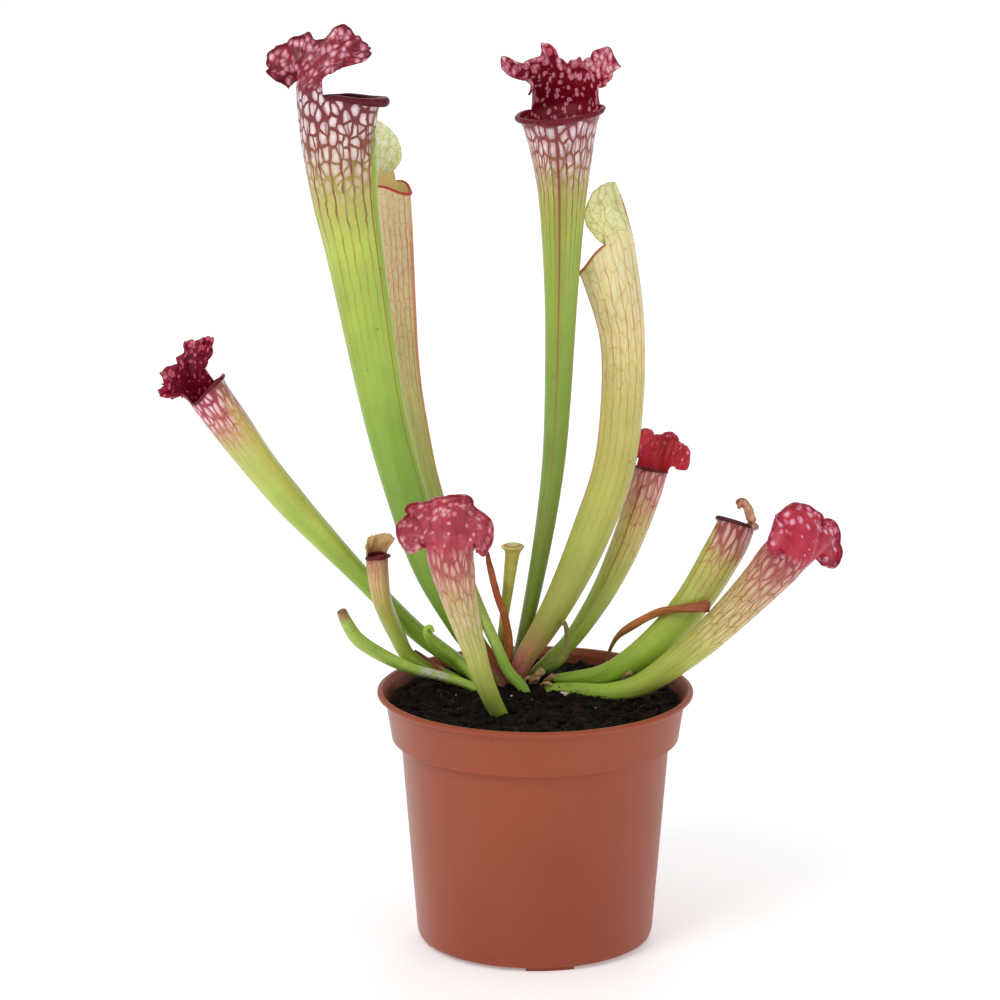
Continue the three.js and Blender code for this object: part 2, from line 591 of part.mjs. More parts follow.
// The hood: a sheet that rises from the back of the lip and opens out to its lobed outline.
function hoodSolid(leaf, columns, rows) {
  const mouth = spineOf(leaf)(1);
  const [leftSpread, rightSpread] = leaf.spread.map(THREE.MathUtils.degToRad);
  const outline = leaf.hood.map(([x, y, z]) => new THREE.Vector3(x, y, z).add(mouth.middle));
  const edge = new THREE.CatmullRomCurve3(outline, false, "catmullrom", 0.5);
  const shape = mouthShape(leaf, 1);
  const reach = mouth.radius * (1 + leaf.flare) - LEAF_WALL / 2;
  const sheet = [];
  for (let row = 0; row <= rows; row += 1) {
    const v = row / rows;
    const line = [];
    for (let column = 0; column <= columns; column += 1) {
      const u = column / columns;
      const angle = Math.PI + rightSpread - u * (leftSpread + rightSpread);
      const outward = mouth.front.clone().multiplyScalar(Math.cos(angle));
      outward.addScaledVector(mouth.left, Math.sin(angle));
      const root = mouth.middle.clone().addScaledVector(outward, reach);
      root.addScaledVector(mouth.along, shape.up(angle));
      const neck = mouth.middle.clone().addScaledVector(outward, leaf.hug * reach);
      neck.addScaledVector(mouth.along, leaf.neck).addScaledVector(mouth.left, leaf.shift);
      const point = root.multiplyScalar((1 - v) ** 2);
      point.addScaledVector(neck, 2 * v * (1 - v));
      point.addScaledVector(edge.getPoint(u), v * v);
      line.push(point);
    }
    sheet.push(line);
  }
  return thicken(sheet, LEAF_WALL);
}

function pitcherSolid(leaf) {
  const [columns, rows] = hasWideHood(leaf) ? [16, 4] : [8, 3];
  return trumpetSolid(leaf, trumpetSteps(leaf)).add(hoodSolid(leaf, columns, rows));
}

function hasWideHood(leaf) {
  return leaf.hood.length > 10;
}

function trumpetSteps(leaf) {
  return hasWideHood(leaf) ? 13 : 11;
}

function stalkSteps(leaf) {
  return Math.round(1.5 * leaf.stations.length);
}

// ---------------------------------------------------------------- the plant

function material(colour, roughness) {
  return new THREE.MeshStandardMaterial({ color: colour, roughness, metalness: 0 });
}

function piece(name, solid, finish) {
  const mesh = new THREE.Mesh(geometryOf(solid), finish);
  mesh.name = name;
  return mesh;
}

const plant = new THREE.Group();
plant.name = "potted_pitcher_plant";

plant.add(piece("pot", potSolid(), material(0xa5573f, 0.42)));

// Every leaf stands in a plain hole, a little wider and deeper than its foot.
const footHoles = [
  ...Object.values(LEAVES).map((leaf) => holeSolid(leaf, TUBE_SIDES, trumpetSteps(leaf))),
  ...Object.values(STALKS).map((leaf) => holeSolid(leaf, STALK_SIDES, stalkSteps(leaf))),
];

let soil = soilSolid().subtract(rhizomeSolid(CLEARANCE));
let rhizome = rhizomeSolid();
for (const hole of footHoles) {
  soil = soil.subtract(hole);
  rhizome = rhizome.subtract(hole);
}
plant.add(piece("soil", bodyOf(soil), material(0x2a201a, 0.95)));
plant.add(piece("rhizome", bodyOf(rhizome), material(0x6b4a32, 0.8)));

for (const [name, leaf] of Object.entries(LEAVES)) {
  plant.add(piece(name, pitcherSolid(leaf), material(leaf.colour, 0.45)));
}
for (const [name, leaf] of Object.entries(STALKS)) {
  plant.add(piece(name, stalkSolid(leaf), material(leaf.colour, 0.6)));
}

export default plant;
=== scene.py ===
"""Looks of the potted pitcher plant: metres, +Z up, the front is -Y and the right-hand side is +X."""

import math
import random

import bmesh
import bpy
import numpy as np
from mathutils import Euler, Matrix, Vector, noise


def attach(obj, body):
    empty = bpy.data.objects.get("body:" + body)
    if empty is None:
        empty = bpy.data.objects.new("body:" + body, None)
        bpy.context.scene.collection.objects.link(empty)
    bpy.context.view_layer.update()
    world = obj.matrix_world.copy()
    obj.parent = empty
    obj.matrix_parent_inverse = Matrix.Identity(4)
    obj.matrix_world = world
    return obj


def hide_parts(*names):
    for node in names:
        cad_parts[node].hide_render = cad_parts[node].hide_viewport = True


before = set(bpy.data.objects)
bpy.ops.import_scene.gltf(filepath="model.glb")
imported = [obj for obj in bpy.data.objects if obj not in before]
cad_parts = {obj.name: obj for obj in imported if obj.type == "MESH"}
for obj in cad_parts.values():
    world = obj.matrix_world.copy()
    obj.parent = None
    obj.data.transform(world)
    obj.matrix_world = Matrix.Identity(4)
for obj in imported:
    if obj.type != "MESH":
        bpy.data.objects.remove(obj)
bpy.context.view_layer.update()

MM = 0.001
TURN = 2 * math.pi
BODY = "root"

# ---------------------------------------------------------------- camera, floor and light

CAMERA_PLACE = (-0.013364, -1.824558, 0.628583)
CAMERA_LENS = 180.03
CAMERA_DOWN = 14.047  # degrees below level
PLANT_MIDDLE = (0.0, 0.0, 0.17)  # where the lamps point
LAMPS = {  # place, width and watts of each
    "key_light": ((-0.9, -1.2, 1.5), 0.9, 13.0),
    "fill_light": ((1.4, -1.0, 0.8), 1.2, 3.0),
    "back_light": ((0.2, 1.3, 1.3), 1.0, 5.0),
}
SKY_LIGHT = 0.62  # what the white sky gives the plant
SKY_SEEN = 1.0  # how bright the camera sees it
FLOOR_WIDTH = 8.0
FLOOR_GLOW = (0.28, 0.5)  # near the pot and far off
FLOOR_GLOW_FROM = (0.35, 2.2)  # how near and how far that is


def add_camera():
    data = bpy.data.cameras.new("view")
    data.lens = CAMERA_LENS
    data.sensor_width = 36.0
    data.clip_start = 0.1
    data.clip_end = 20.0
    camera = new_object("view", data)
    camera.location = CAMERA_PLACE
    camera.rotation_euler = (math.radians(90 - CAMERA_DOWN), 0.0, 0.0)
    bpy.context.scene.camera = camera


def add_lamp(name, place, width, watts):
    data = bpy.data.lights.new(name, "AREA")
    data.shape = "DISK"
    data.size = width
    data.energy = watts
    lamp = new_object(name, data)
    lamp.location = place
    lamp.rotation_euler = (Vector(PLANT_MIDDLE) - Vector(place)).to_track_quat("-Z", "Y").to_euler()


def add_studio():
    for name, settings in LAMPS.items():
        add_lamp(name, *settings)
    world = bpy.data.worlds.new("studio")
    world.use_nodes = True
    sky = world.node_tree.nodes["Background"]
    n = Nodes(world.node_tree)
    seen = n.add("ShaderNodeLightPath").outputs["Is Camera Ray"]
    n.feed(sky, Color=(1.0, 1.0, 1.0, 1.0), Strength=n.mix_value(seen, SKY_LIGHT, SKY_SEEN))
    bpy.context.scene.world = world
    bpy.context.scene.view_settings.view_transform = "Standard"


def add_floor():
    deselect()
    bpy.ops.mesh.primitive_plane_add(size=FLOOR_WIDTH, location=(0.0, 0.0, 0.0))
    floor = bpy.context.object
    floor.name = "floor"
    material, n, shader = new_material("pale_floor", Roughness=0.7, Specular_IOR_Level=0.1)
    x, y, _ = n.split(n.place())
    glow = n.ramp(n.from_axis(x, y), *FLOOR_GLOW_FROM, *FLOOR_GLOW)
    n.feed(shader, Base_Color=shade(246, 246, 246), Emission_Color=shade(255, 255, 255))
    n.feed(shader, Emission_Strength=glow)
    floor.data.materials.append(material)


# ---------------------------------------------------------------- node helpers


class Nodes:
    """A node tree that is written as plain steps: each call adds a node and returns its output."""

    def __init__(self, tree):
        self.tree = tree

    def add(self, kind, **settings):
        node = self.tree.nodes.new(kind)
        for key, value in settings.items():
            setattr(node, key, value)
        return node

    def link(self, value, socket):
        if isinstance(value, bpy.types.NodeSocket):
            self.tree.links.new(value, socket)
        else:
            socket.default_value = value

    def feed(self, node, **values):
        """Gives each value to the node's input of that name, where _ stands for a space."""
        for name, value in values.items():
            self.link(value, node.inputs[name.replace("_", " ")])

    def group(self, tree, **values):
        node = self.add("ShaderNodeGroup", node_tree=tree)
        self.feed(node, **values)
        return node.outputs

    def math(self, operation, *values):
        node = self.add("ShaderNodeMath", operation=operation)
        for value, socket in zip(values, node.inputs):
            self.link(value, socket)
        return node.outputs[0]

    def times(self, product, *factors):
        for factor in factors:
            product = self.math("MULTIPLY", product, factor)
        return product

    def plus(self, a, b):
        return self.math("ADD", a, b)

    def minus(self, a, b):
        return self.math("SUBTRACT", a, b)

    def from_axis(self, x, y):
        """Distance from the upright axis."""
        return self.math("SQRT", self.plus(self.times(x, x), self.times(y, y)))

    def ramp(self, value, low, high, to_low=0.0, to_high=1.0, kind="SMOOTHSTEP"):
        """Maps low..high to to_low..to_high, held at both ends."""
        node = self.add("ShaderNodeMapRange", interpolation_type=kind)
        self.feed(node, Value=value, From_Min=low, From_Max=high, To_Min=to_low, To_Max=to_high)
        return node.outputs[0]

    def fade(self, value, low, high):
        """1 up to low, and 0 from high on."""
        return self.ramp(value, low, high, 1.0, 0.0)

    def mix(self, factor, a, b, blend="MIX"):
        node = self.add("ShaderNodeMix", data_type="RGBA", blend_type=blend)
        for value, index in ((factor, 0), (a, 6), (b, 7)):
            self.link(value, node.inputs[index])
        return node.outputs[2]

    def mix_value(self, factor, a, b):
        node = self.add("ShaderNodeMix", data_type="FLOAT")
        for value, index in ((factor, 0), (a, 2), (b, 3)):
            self.link(value, node.inputs[index])
        return node.outputs[0]

    def colours(self, value, stops):
        """A colour ramp with (position, (red, green, blue)) stops."""
        node = self.add("ShaderNodeValToRGB")
        self.link(value, node.inputs[0])
        bar = node.color_ramp
        while len(bar.elements) < len(stops):
            bar.elements.new(0.5)
        for element, (position, colour) in zip(bar.elements, stops):
            element.position = position
            element.color = shade(*colour)
        return node.outputs[0]

    def vector(self, x, y, z=0.0):
        node = self.add("ShaderNodeCombineXYZ")
        for value, socket in zip((x, y, z), node.inputs):
            self.link(value, socket)
        return node.outputs[0]

    def split(self, vector):
        node = self.add("ShaderNodeSeparateXYZ")
        self.link(vector, node.inputs[0])
        return node.outputs[0], node.outputs[1], node.outputs[2]

    def uv(self, name):
        """The two values of a map."""
        return self.split(self.add("ShaderNodeUVMap", uv_map=name).outputs[0])[:2]

    def place(self):
        return self.add("ShaderNodeTexCoord").outputs["Object"]

    def vector_math(self, operation, a, b):
        node = self.add("ShaderNodeVectorMath", operation=operation)
        self.link(a, node.inputs[0])
        self.link(b, node.inputs["Scale" if operation == "SCALE" else 1])
        return node.outputs[0]

    def stretch(self, vector, sizes):
        return self.vector_math("MULTIPLY", vector, sizes)

    def wobble(self, vector, scale, amount):
        """Pushes places about a little, so that what is drawn on them is less regular."""
        away = self.add("ShaderNodeTexNoise")
        self.feed(away, Vector=vector, Scale=scale)
        centred = self.vector_math("SUBTRACT", away.outputs["Color"], (0.5, 0.5, 0.5))
        return self.vector_math("ADD", vector, self.vector_math("SCALE", centred, amount))

    def noise(self, vector, scale, detail=3.0, roughness=0.55):
        node = self.add("ShaderNodeTexNoise")
        self.feed(node, Vector=vector, Scale=scale, Detail=detail, Roughness=roughness)
        return node.outputs[0]

    def voronoi(self, vector, scale, feature="F1", randomness=1.0, dimensions="3D"):
        node = self.add("ShaderNodeTexVoronoi", feature=feature, voronoi_dimensions=dimensions)
        self.feed(node, Vector=vector, Scale=scale, Randomness=randomness)
        return node.outputs[0]

    def bump(self, height, strength, distance):
        node = self.add("ShaderNodeBump")
        self.feed(node, Height=height, Strength=strength, Distance=distance)
        return node.outputs[0]


def shade(red, green, blue):
    """A colour given as seen on a screen, 0 to 255, turned into the light values that nodes use."""
    linear = []
    for part in (red, green, blue):
        part /= 255.0
        linear.append(part / 12.92 if part <= 0.04045 else ((part + 0.055) / 1.055) ** 2.4)
    return (*linear, 1.0)


def new_material(name, **shader_values):
    """A material with its node steps and its shader, whose named inputs get the given values."""
    material = bpy.data.materials.new(name)
    material.use_nodes = True
    nodes = Nodes(material.node_tree)
    shader = material.node_tree.nodes["Principled BSDF"]
    nodes.feed(shader, **shader_values)
    return material, nodes, shader


# ---------------------------------------------------------------- shared effects

FLOAT = "NodeSocketFloat"
COLOUR = "NodeSocketColor"
VECTOR = "NodeSocketVector"


def new_group(name, inputs, outputs):
    """Starts a node group: its tree, its steps, its inputs and the node that takes its results."""
    tree = bpy.data.node_groups.new(name, "ShaderNodeTree")
    for label, value in inputs.items():
        kind = COLOUR if isinstance(value, tuple) else FLOAT
        socket = tree.interface.new_socket(label, in_out="INPUT", socket_type=kind)
        socket.default_value = value
    for label, kind in outputs.items():
        tree.interface.new_socket(label, in_out="OUTPUT", socket_type=kind)
    nodes = Nodes(tree)
    return tree, nodes, nodes.add("NodeGroupInput").outputs, nodes.add("NodeGroupOutput")


def build_vein_net():
    """Long veins that run up a leaf, cross-linked into a net round oval panes.

    Across and Along are the leaf's own map, 1 for each centimetre. Width and Length are the size of a
    cell, Line and Pane the half-width of a vein and the radius of a pane as shares of it.
    """
    tree, n, given, result = new_group(
        "vein_net",
        {"Across": 0.0, "Along": 0.0, "Width": 0.3, "Length": 0.6, "Line": 0.1, "Wander": 0.12,
         "Pane": 0.36},
        {"Net": FLOAT, "Veins": FLOAT, "Panes": FLOAT, "Cells": FLOAT, "Lane": FLOAT})
    across, along, line, pane = given["Across"], given["Along"], given["Line"], given["Pane"]
    sway = n.minus(n.noise(n.vector(across, along), 1.6), 0.5)
    ripple = n.minus(n.noise(n.vector(along, across, 4.0), 3.2), 0.5)
    x = n.math("DIVIDE", n.plus(across, n.times(sway, given["Wander"])), given["Width"])
    y = n.math("DIVIDE", n.plus(along, n.times(ripple, given["Wander"])), given["Length"])
    cell_map = n.vector(x, y)
    cells = n.voronoi(cell_map, 1.0, "F1", 0.95, "2D")
    to_edge = n.voronoi(cell_map, 1.0, "DISTANCE_TO_EDGE", 0.95, "2D")
    panes = n.fade(cells, n.minus(pane, 0.06), n.plus(pane, 0.05))
    lane = n.math("PINGPONG", n.plus(x, n.times(sway, 0.3)), 0.5)
    n.feed(
        result,
        Net=n.fade(to_edge, n.times(line, 0.4), line),
        Veins=n.fade(lane, n.times(line, 0.35), line),
        Panes=n.times(panes, n.ramp(to_edge, line, n.times(line, 1.6))),
        Cells=cells,
        Lane=lane)
    return tree


def build_spots():
    """Round spots of uneven size, and the net between them, in the leaf's own space."""
    tree, n, given, result = new_group(
        "spots", {"Size": 0.4, "Scale": 400.0, "Line": 0.08},
        {"Spots": FLOAT, "Heart": FLOAT, "Net": FLOAT})
    size, line = given["Size"], given["Line"]
    place = n.stretch(n.wobble(n.place(), 300.0, 0.0022), (1.0, 1.0, 0.72))
    cells = n.voronoi(place, given["Scale"], "F1", 0.9)
    to_edge = n.voronoi(place, given["Scale"], "DISTANCE_TO_EDGE", 0.9)
    n.feed(
        result,
        Spots=n.fade(cells, n.minus(size, 0.08), n.plus(size, 0.05)),
        Heart=n.fade(cells, 0.0, n.times(size, 0.9)),
        Net=n.fade(to_edge, n.times(line, 0.4), line))
    return tree


def build_leaf_skin():
    """The fine relief and sheen of a waxy leaf."""
    tree, n, given, result = new_group(
        "leaf_skin", {"Across": 0.0, "Along": 0.0, "Raised": 0.0, "Gloss": 0.4, "Relief": 0.3},
        {"Roughness": FLOAT, "Normal": VECTOR})
    streak = n.noise(n.vector(n.times(given["Across"], 9.0), given["Along"]), 1.6, 4.0)
    grain = n.noise(n.place(), 900.0)
    height = n.plus(n.times(streak, 0.5), n.times(grain, 0.25))
    height = n.plus(height, n.times(given["Raised"], 0.6))
    n.feed(
        result,
        Roughness=n.plus(given["Gloss"], n.times(n.minus(streak, 0.5), 0.3)),
        Normal=n.bump(height, given["Relief"], 0.0005))
    return tree


def build_mottle():
    """Patchy light and dark over a colour, as on anything that grew."""
    tree, n, given, result = new_group(
        "mottle", {"Colour": (0.5, 0.5, 0.5, 1.0), "Scale": 60.0, "Amount": 0.3}, {"Colour": COLOUR})
    amount = given["Amount"]
    patch = n.noise(n.place(), given["Scale"], 5.0, 0.6)
    light = n.ramp(patch, 0.3, 0.7, n.minus(1.0, amount), n.plus(1.0, amount), "LINEAR")
    n.feed(result, Colour=n.mix(1.0, given["Colour"], n.vector(light, light, light), "MULTIPLY"))
    return tree


VEIN_NET = build_vein_net()
SPOTS = build_spots()
LEAF_SKIN = build_leaf_skin()
MOTTLE = build_mottle()

# ---------------------------------------------------------------- mesh helpers


def new_object(name, data):
    thing = bpy.data.objects.new(name, data)
    bpy.context.collection.objects.link(thing)
    return thing


def new_piece(name, points, faces):
    mesh = bpy.data.meshes.new(name)
    mesh.from_pydata(points, [], faces)
    return new_object(name, mesh)


def deselect():
    bpy.ops.object.select_all(action="DESELECT")


def pick(piece):
    """Selects one piece alone and makes it the active one."""
    deselect()
    bpy.context.view_layer.objects.active = piece
    piece.select_set(True)


def new_ball(subdivisions):
    """A ball of radius 1 in the middle, to be shaped."""
    deselect()
    bpy.ops.mesh.primitive_ico_sphere_add(subdivisions=subdivisions, radius=1.0, location=(0, 0, 0))
    return bpy.context.object


def smooth(piece):
    for polygon in piece.data.polygons:
        polygon.use_smooth = True


def apply_modifiers(piece, *steps):
    """Adds the given modifiers, (kind, settings) each, and applies them in order."""
    pick(piece)
    for kind, settings in steps:
        modifier = piece.modifiers.new(kind.lower(), kind)
        for key, value in settings.items():
            setattr(modifier, key, value)
        bpy.ops.object.modifier_apply(modifier=modifier.name)


def dress(piece, node, slot, *materials):
    """Gives a piece its finish and its body, and hides the solid of the node it stands for, if any."""
    for material in materials:
        piece.data.materials.append(material)
    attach(piece, BODY)
    if node:
        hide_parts(node)


# ---------------------------------------------------------------- leaf forms

# Each pitcher follows the line of stations (x, y, z, radius), in millimetres, of the solid it stands
# for, and "front" is the side of the keel. In front its mouth rises by "spout" and juts out by "beak",
# and "tilt" lifts its left side. Its lip's roll may be knobbed in front and tapered behind. The hood
# grows from "spread" degrees to each side of the back, bends over a neck that high, and ends at the
# outline "hood", measured from the middle of the mouth. "hug" and "shift" move the neck in and sideways,
# "sag" lowers its sides, "ruffle" and "waves" wave the edge, "frill" cuts teeth into it, "fold" creases
# the middle and "curl" is the radius and turn in degrees of the curled edge. A "strap" is a withered
# lid that is a line of stations itself.
FORM = dict(keel=0.2, lip=0.8, spout=0, tilt=0, beak=0, flare=0, knob=0.3, taper=0, hug=1, shift=0,
            sag=0, fold=0)
PITCHERS = {
    "tall_left_pitcher": dict(
        front=(0.96, -0.28), lip=1.4, spout=-2.4, tilt=-3, beak=3, knob=0.7, taper=0.6,
        spread=(50, 95), neck=11, ruffle=1.2, waves=9, curl=(0.9, 110), frill=2.6,
        stations=[
            (-10.5, 15, 88, 2.6), (-12.3, 17.2, 96, 3.2), (-17.8, 20.6, 102.3, 3.8),
            (-24, 21.2, 110.4, 4.5), (-29.2, 19.6, 119.8, 5.5), (-41, 15, 144, 6.6),
            (-51, 12, 177, 7.2), (-58.5, 9, 208, 7.7), (-67.9, 5, 264, 9.9), (-71.7, 3, 286, 11.4),
            (-74, 1, 308, 12.9), (-75.4, 0, 325.5, 13.1)],
        hood=[
            (-1.7, -12, 11.6), (4.3, -14, 12.6), (7.8, -12, 16.6), (14.8, -9, 15.6),
            (14.8, -4, 18.3), (10.3, 0, 22), (4.8, 3, 25.6), (-3.7, 4, 20.6), (-9.2, 8, 22.1),
            (-16.2, 10, 18.6), (-22.2, 12, 15.6), (-24.7, 9, 9.1), (-23.7, 6, 6.6), (-16.2, 8, 1.6)]),
    "tall_middle_pitcher": dict(
        front=(-0.12, -0.99), keel=0.16, lip=1.2, spout=0.5, tilt=1.5, flare=0.1, spread=(66, 52),
        neck=9, hug=0.9, ruffle=1.3, waves=10, curl=(0.7, 100), frill=3.6, fold=-1.2,
        stations=[
            (-8.4, 30, 88, 2), (-8, 30.3, 97, 2.3), (-4.2, 29.5, 110.5, 2.6), (2.3, 24, 146, 3.5),
            (6.9, 20, 181, 4.4), (8.7, 18, 214, 5.2), (9.6, 17, 249, 6.4), (10, 16, 283, 8.9),
            (9.7, 15, 300, 11.4), (9.2, 14, 317, 14.2)],
        hood=[
            (-11.5, 2, 5.6), (-13, 0, 13.6), (-21.5, -6, 16.1), (-21, -8, 21.6), (-13, 0, 18.6),
            (-8, 4, 22.1), (-5.5, 6, 25.6), (-2, 10, 21.1), (2.5, 12, 18.6), (8.5, 11, 20.1),
            (11.5, 8, 19.6), (16, -2, 25.6), (22, -6, 18.6), (19.5, 0, 13.6), (16, 4, 7.6)]),
    "tall_right_pitcher": dict(
        front=(-0.98, -0.2), keel=0.16, lip=0.6, spout=-6, tilt=4.5,
        spread=(100, 60), neck=12, ruffle=0.5, waves=3, curl=(0.4, 60), frill=0.5,
        stations=[
            (-7, 22.5, 88, 2.6), (-6.5, 22.5, 95, 3), (-4, 22, 103.5, 3.7), (3.2, 22, 115, 4.7),
            (12, 22.5, 131, 5.8), (22, 24.5, 153.5, 7.1), (30.6, 26.5, 178.5, 7.4),
            (33.7, 28, 205.8, 7.7), (33.6, 29, 228, 8), (30.5, 29, 247, 9.6), (27, 29, 262, 10.8)],
        hood=[
            (-0.5, 11, 3.3), (-4.5, 12, 6.8), (-6, 11, 12.3), (-3.5, 8, 20.3), (0, 4, 24.8),
            (3.5, 0, 26.3), (-1, -4, 26.3), (-6, -9, 23.3), (-8.5, -11, 15.3), (-7, -10, 9.8),
            (-3, -9, 5.3), (0, -8.5, 3.3)]),
    "back_left_pitcher": dict(
        front=(0.85, -0.52), lip=0.6, spout=-3.8,
        spread=(76, 76), neck=7, hug=0.97, ruffle=0.4, waves=3, curl=(0.5, 90), frill=0.8,
        stations=[
            (-2.8, 8.2, 88, 1.8), (-4.3, 8.6, 95.5, 2), (-10.2, 12, 101.5, 2.1),
            (-14.4, 15.8, 109.8, 2), (-22.4, 26.5, 125, 2.2), (-38.5, 34, 165, 3.3),
            (-46, 38, 195, 4.3), (-49.6, 41, 216, 5), (-51.8, 42.5, 239, 6), (-53.5, 44, 264, 6.6),
            (-55, 45, 284.5, 7)],
        hood=[
            (-4.5, -3, 3.5), (-10.5, -3, 5.5), (-14, -3, 13.5), (-12, -2, 21), (-7.5, -1, 25),
            (1, 1, 20), (4, 2, 12.5), (2.5, 3, 6), (-1.5, 4.5, 3)]),
    "leaning_left_pitcher": dict(
        front=(0.75, -0.65), spout=3.8, beak=2.6,
        spread=(70, 76), neck=6, hug=0.97, ruffle=1.1, waves=9, curl=(0.8, 110), frill=3.0,
        stations=[
            (-18.5, 22.5, 89, 2.5), (-21.5, 23.2, 96, 2.8), (-30, 24.5, 102, 3.2),
            (-47, 25.5, 115, 3.6), (-66.5, 22, 136.5, 4), (-80, 19, 152, 4.9), (-92.5, 16, 167, 6),
            (-103, 13, 181, 6.4), (-111.5, 11, 193.5, 7.2), (-119, 9, 205, 7.7),
            (-123.5, 8, 212, 7.8)],
        hood=[
            (-9, -4, -2.8), (-15, -8, -0.8), (-17.4, -9, 2.2), (-15.8, -8, 5.2), (-16.9, -6, 8.7),
            (-11.5, 0, 11.2), (-9.5, 2, 13.7), (-7.5, 6, 18.7), (-1.5, 8, 19.2), (2.5, 8, 19.7),
            (2, 8, 14.7), (0, 8, 11.7), (-0.5, 8, 8.2)]),
    "front_pitcher": dict(
        front=(0.2, 0.98), spread=(100, 100), neck=12, hug=1.05, shift=-2, sag=0.75,
        ruffle=0.6, waves=5, curl=(1.2, 150), frill=0.8, fold=0.8,
        stations=[
            (-11, 5, 87, 2.6), (-12.2, -8, 88.5, 2.9), (-13.8, -17, 93.5, 3.2),
            (-16.6, -23, 101, 3.5), (-20.3, -28.5, 112, 4), (-23.4, -32.5, 124, 4.6),
            (-26, -35.5, 134, 5.6), (-28.9, -38.5, 146, 6.9), (-30.5, -40.5, 154.5, 8),
            (-31.8, -42, 162, 8.7)],
        hood=[
            (9, -6.2, 1.6), (11.6, -4, 0.4), (13.8, 1, 2.4), (14, 6, 9.6), (8, 9, 15.6),
            (5.5, 8, 18.6), (-1, 8, 19.1), (-4, 9, 17.6), (-8.5, 10, 15.6), (-15, 10, 15.1),
            (-15, 8, 12.6), (-19, 3, 7.6), (-17.5, -2, 3.6), (-14.5, -5, 1.1), (-10, -7, 4.1)]),
    "back_right_pitcher": dict(
        front=(-0.35, -0.94), keel=0.18, lip=0.7, spout=0.5, tilt=0.8,
        spread=(80, 80), neck=5, ruffle=0.5, waves=4, curl=(0.9, 130), frill=0.5, fold=1.6,
        stations=[
            (-1, 27.2, 88, 2.2), (0, 27.3, 95.5, 2.5), (6.5, 27.3, 102, 3), (14.8, 30, 110, 3.4),
            (24, 34, 123, 4.4), (29.9, 37, 133.5, 5.2), (35.8, 40, 146.5, 5.9),
            (41.5, 43, 162, 6.4), (44.8, 44, 173.3, 6.5)],
        hood=[
            (-5, 1, 4.1), (-4.5, 0, 8.1), (-3, 2, 14.1), (0.5, 4, 14.1), (1, 5, 12.1),
            (4.5, 6, 11.6), (6.5, 6, 13.1), (9, 4, 12.6), (10, 2, 10.1), (13, 0, 9.1),
            (14, -2, 7.1), (13, -2, 0.1), (10, 1, -0.4)]),
    "right_pitcher": dict(
        front=(-0.95, -0.1), keel=0.18, lip=0.85, spout=1, tilt=4, spread=(50, 50),
        stations=[
            (4, 21.5, 88, 2.2), (5.5, 21, 94.5, 2.4), (15, 17, 97.3, 2.9), (26.5, 12.5, 100.2, 4),
            (39, 9, 108, 5.2), (52, 6, 120.5, 6.1), (62, 3, 134.5, 6.6), (70, 0, 149.5, 7),
            (73.3, -1, 156, 7), (75.8, -2, 162.5, 6.6)],
        strap=[
            (5.6, 0, -1.2, 4.0), (6.0, 0, 1.6, 3.0), (5.8, 0, 4.2, 2.2), (4.8, 0, 6.8, 2.0),
            (3.2, 0.2, 8.7, 1.8), (1.5, 0.4, 9.4, 2.1), (0.5, 0.5, 8.2, 2.0), (1.1, 0.6, 7.2, 1.3)]),
    "low_right_pitcher": dict(
        front=(-0.75, 0.65), spout=1, spread=(100, 100), neck=8, hug=1.15, sag=0.6,
        ruffle=0.6, waves=5, curl=(1.0, 150), frill=0.8, fold=0.6,
        stations=[
            (3.5, 14, 88, 2.3), (5.5, 13, 93.5, 2.6), (16, 9.3, 94.8, 3.1), (27.5, 5, 95.4, 3.5),
            (41.5, -1, 100.5, 4.3), (59, -9, 115.8, 5.4), (71.2, -14, 128.8, 6.2),
            (83.8, -19, 143.8, 7.4), (90, -22, 152, 8.3), (94.3, -24, 157.5, 8.2)],
        hood=[
            (12, 3, -6.2), (17, 8, -7.7), (18.8, 11, -5.2), (18.4, 13, -0.7), (18.7, 14, 3.3),
            (15.5, 13, 8.8), (11.5, 11, 8.8), (10.5, 8, 13.8), (2, 4, 17.8), (-5, 0, 14.8),
            (-5.5, -2, 12.8), (-8, -6, 5.3), (-7.5, -9, 2.8), (-2.5, -10, 0.3)]),
    "small_left_pitcher": dict(
        front=(0.35, -0.94), lip=0.9, spout=1.3,
        spread=(84, 84), neck=1.5, hug=0.97, ruffle=0.6, waves=4, curl=(0.7, 120), frill=1.0,
        stations=[
            (-27, 21, 88.5, 1.9), (-28.5, 21, 94.5, 2), (-34.5, 21.8, 97.6, 2.2),
            (-47.8, 19.5, 105, 2.8), (-52.8, 16.5, 115, 3.2), (-56.6, 12, 125, 3.5),
            (-58.5, 8, 132.5, 3.7), (-59.6, 6.5, 142, 4.1), (-59.9, 6, 148.5, 4.2)],
        hood=[
            (-4.5, 1, 3.5), (-2.5, 2, 7), (0, 3, 7.5), (4.5, 3, 8), (6, 2, 6), (4.5, 2.5, 3)]),
}

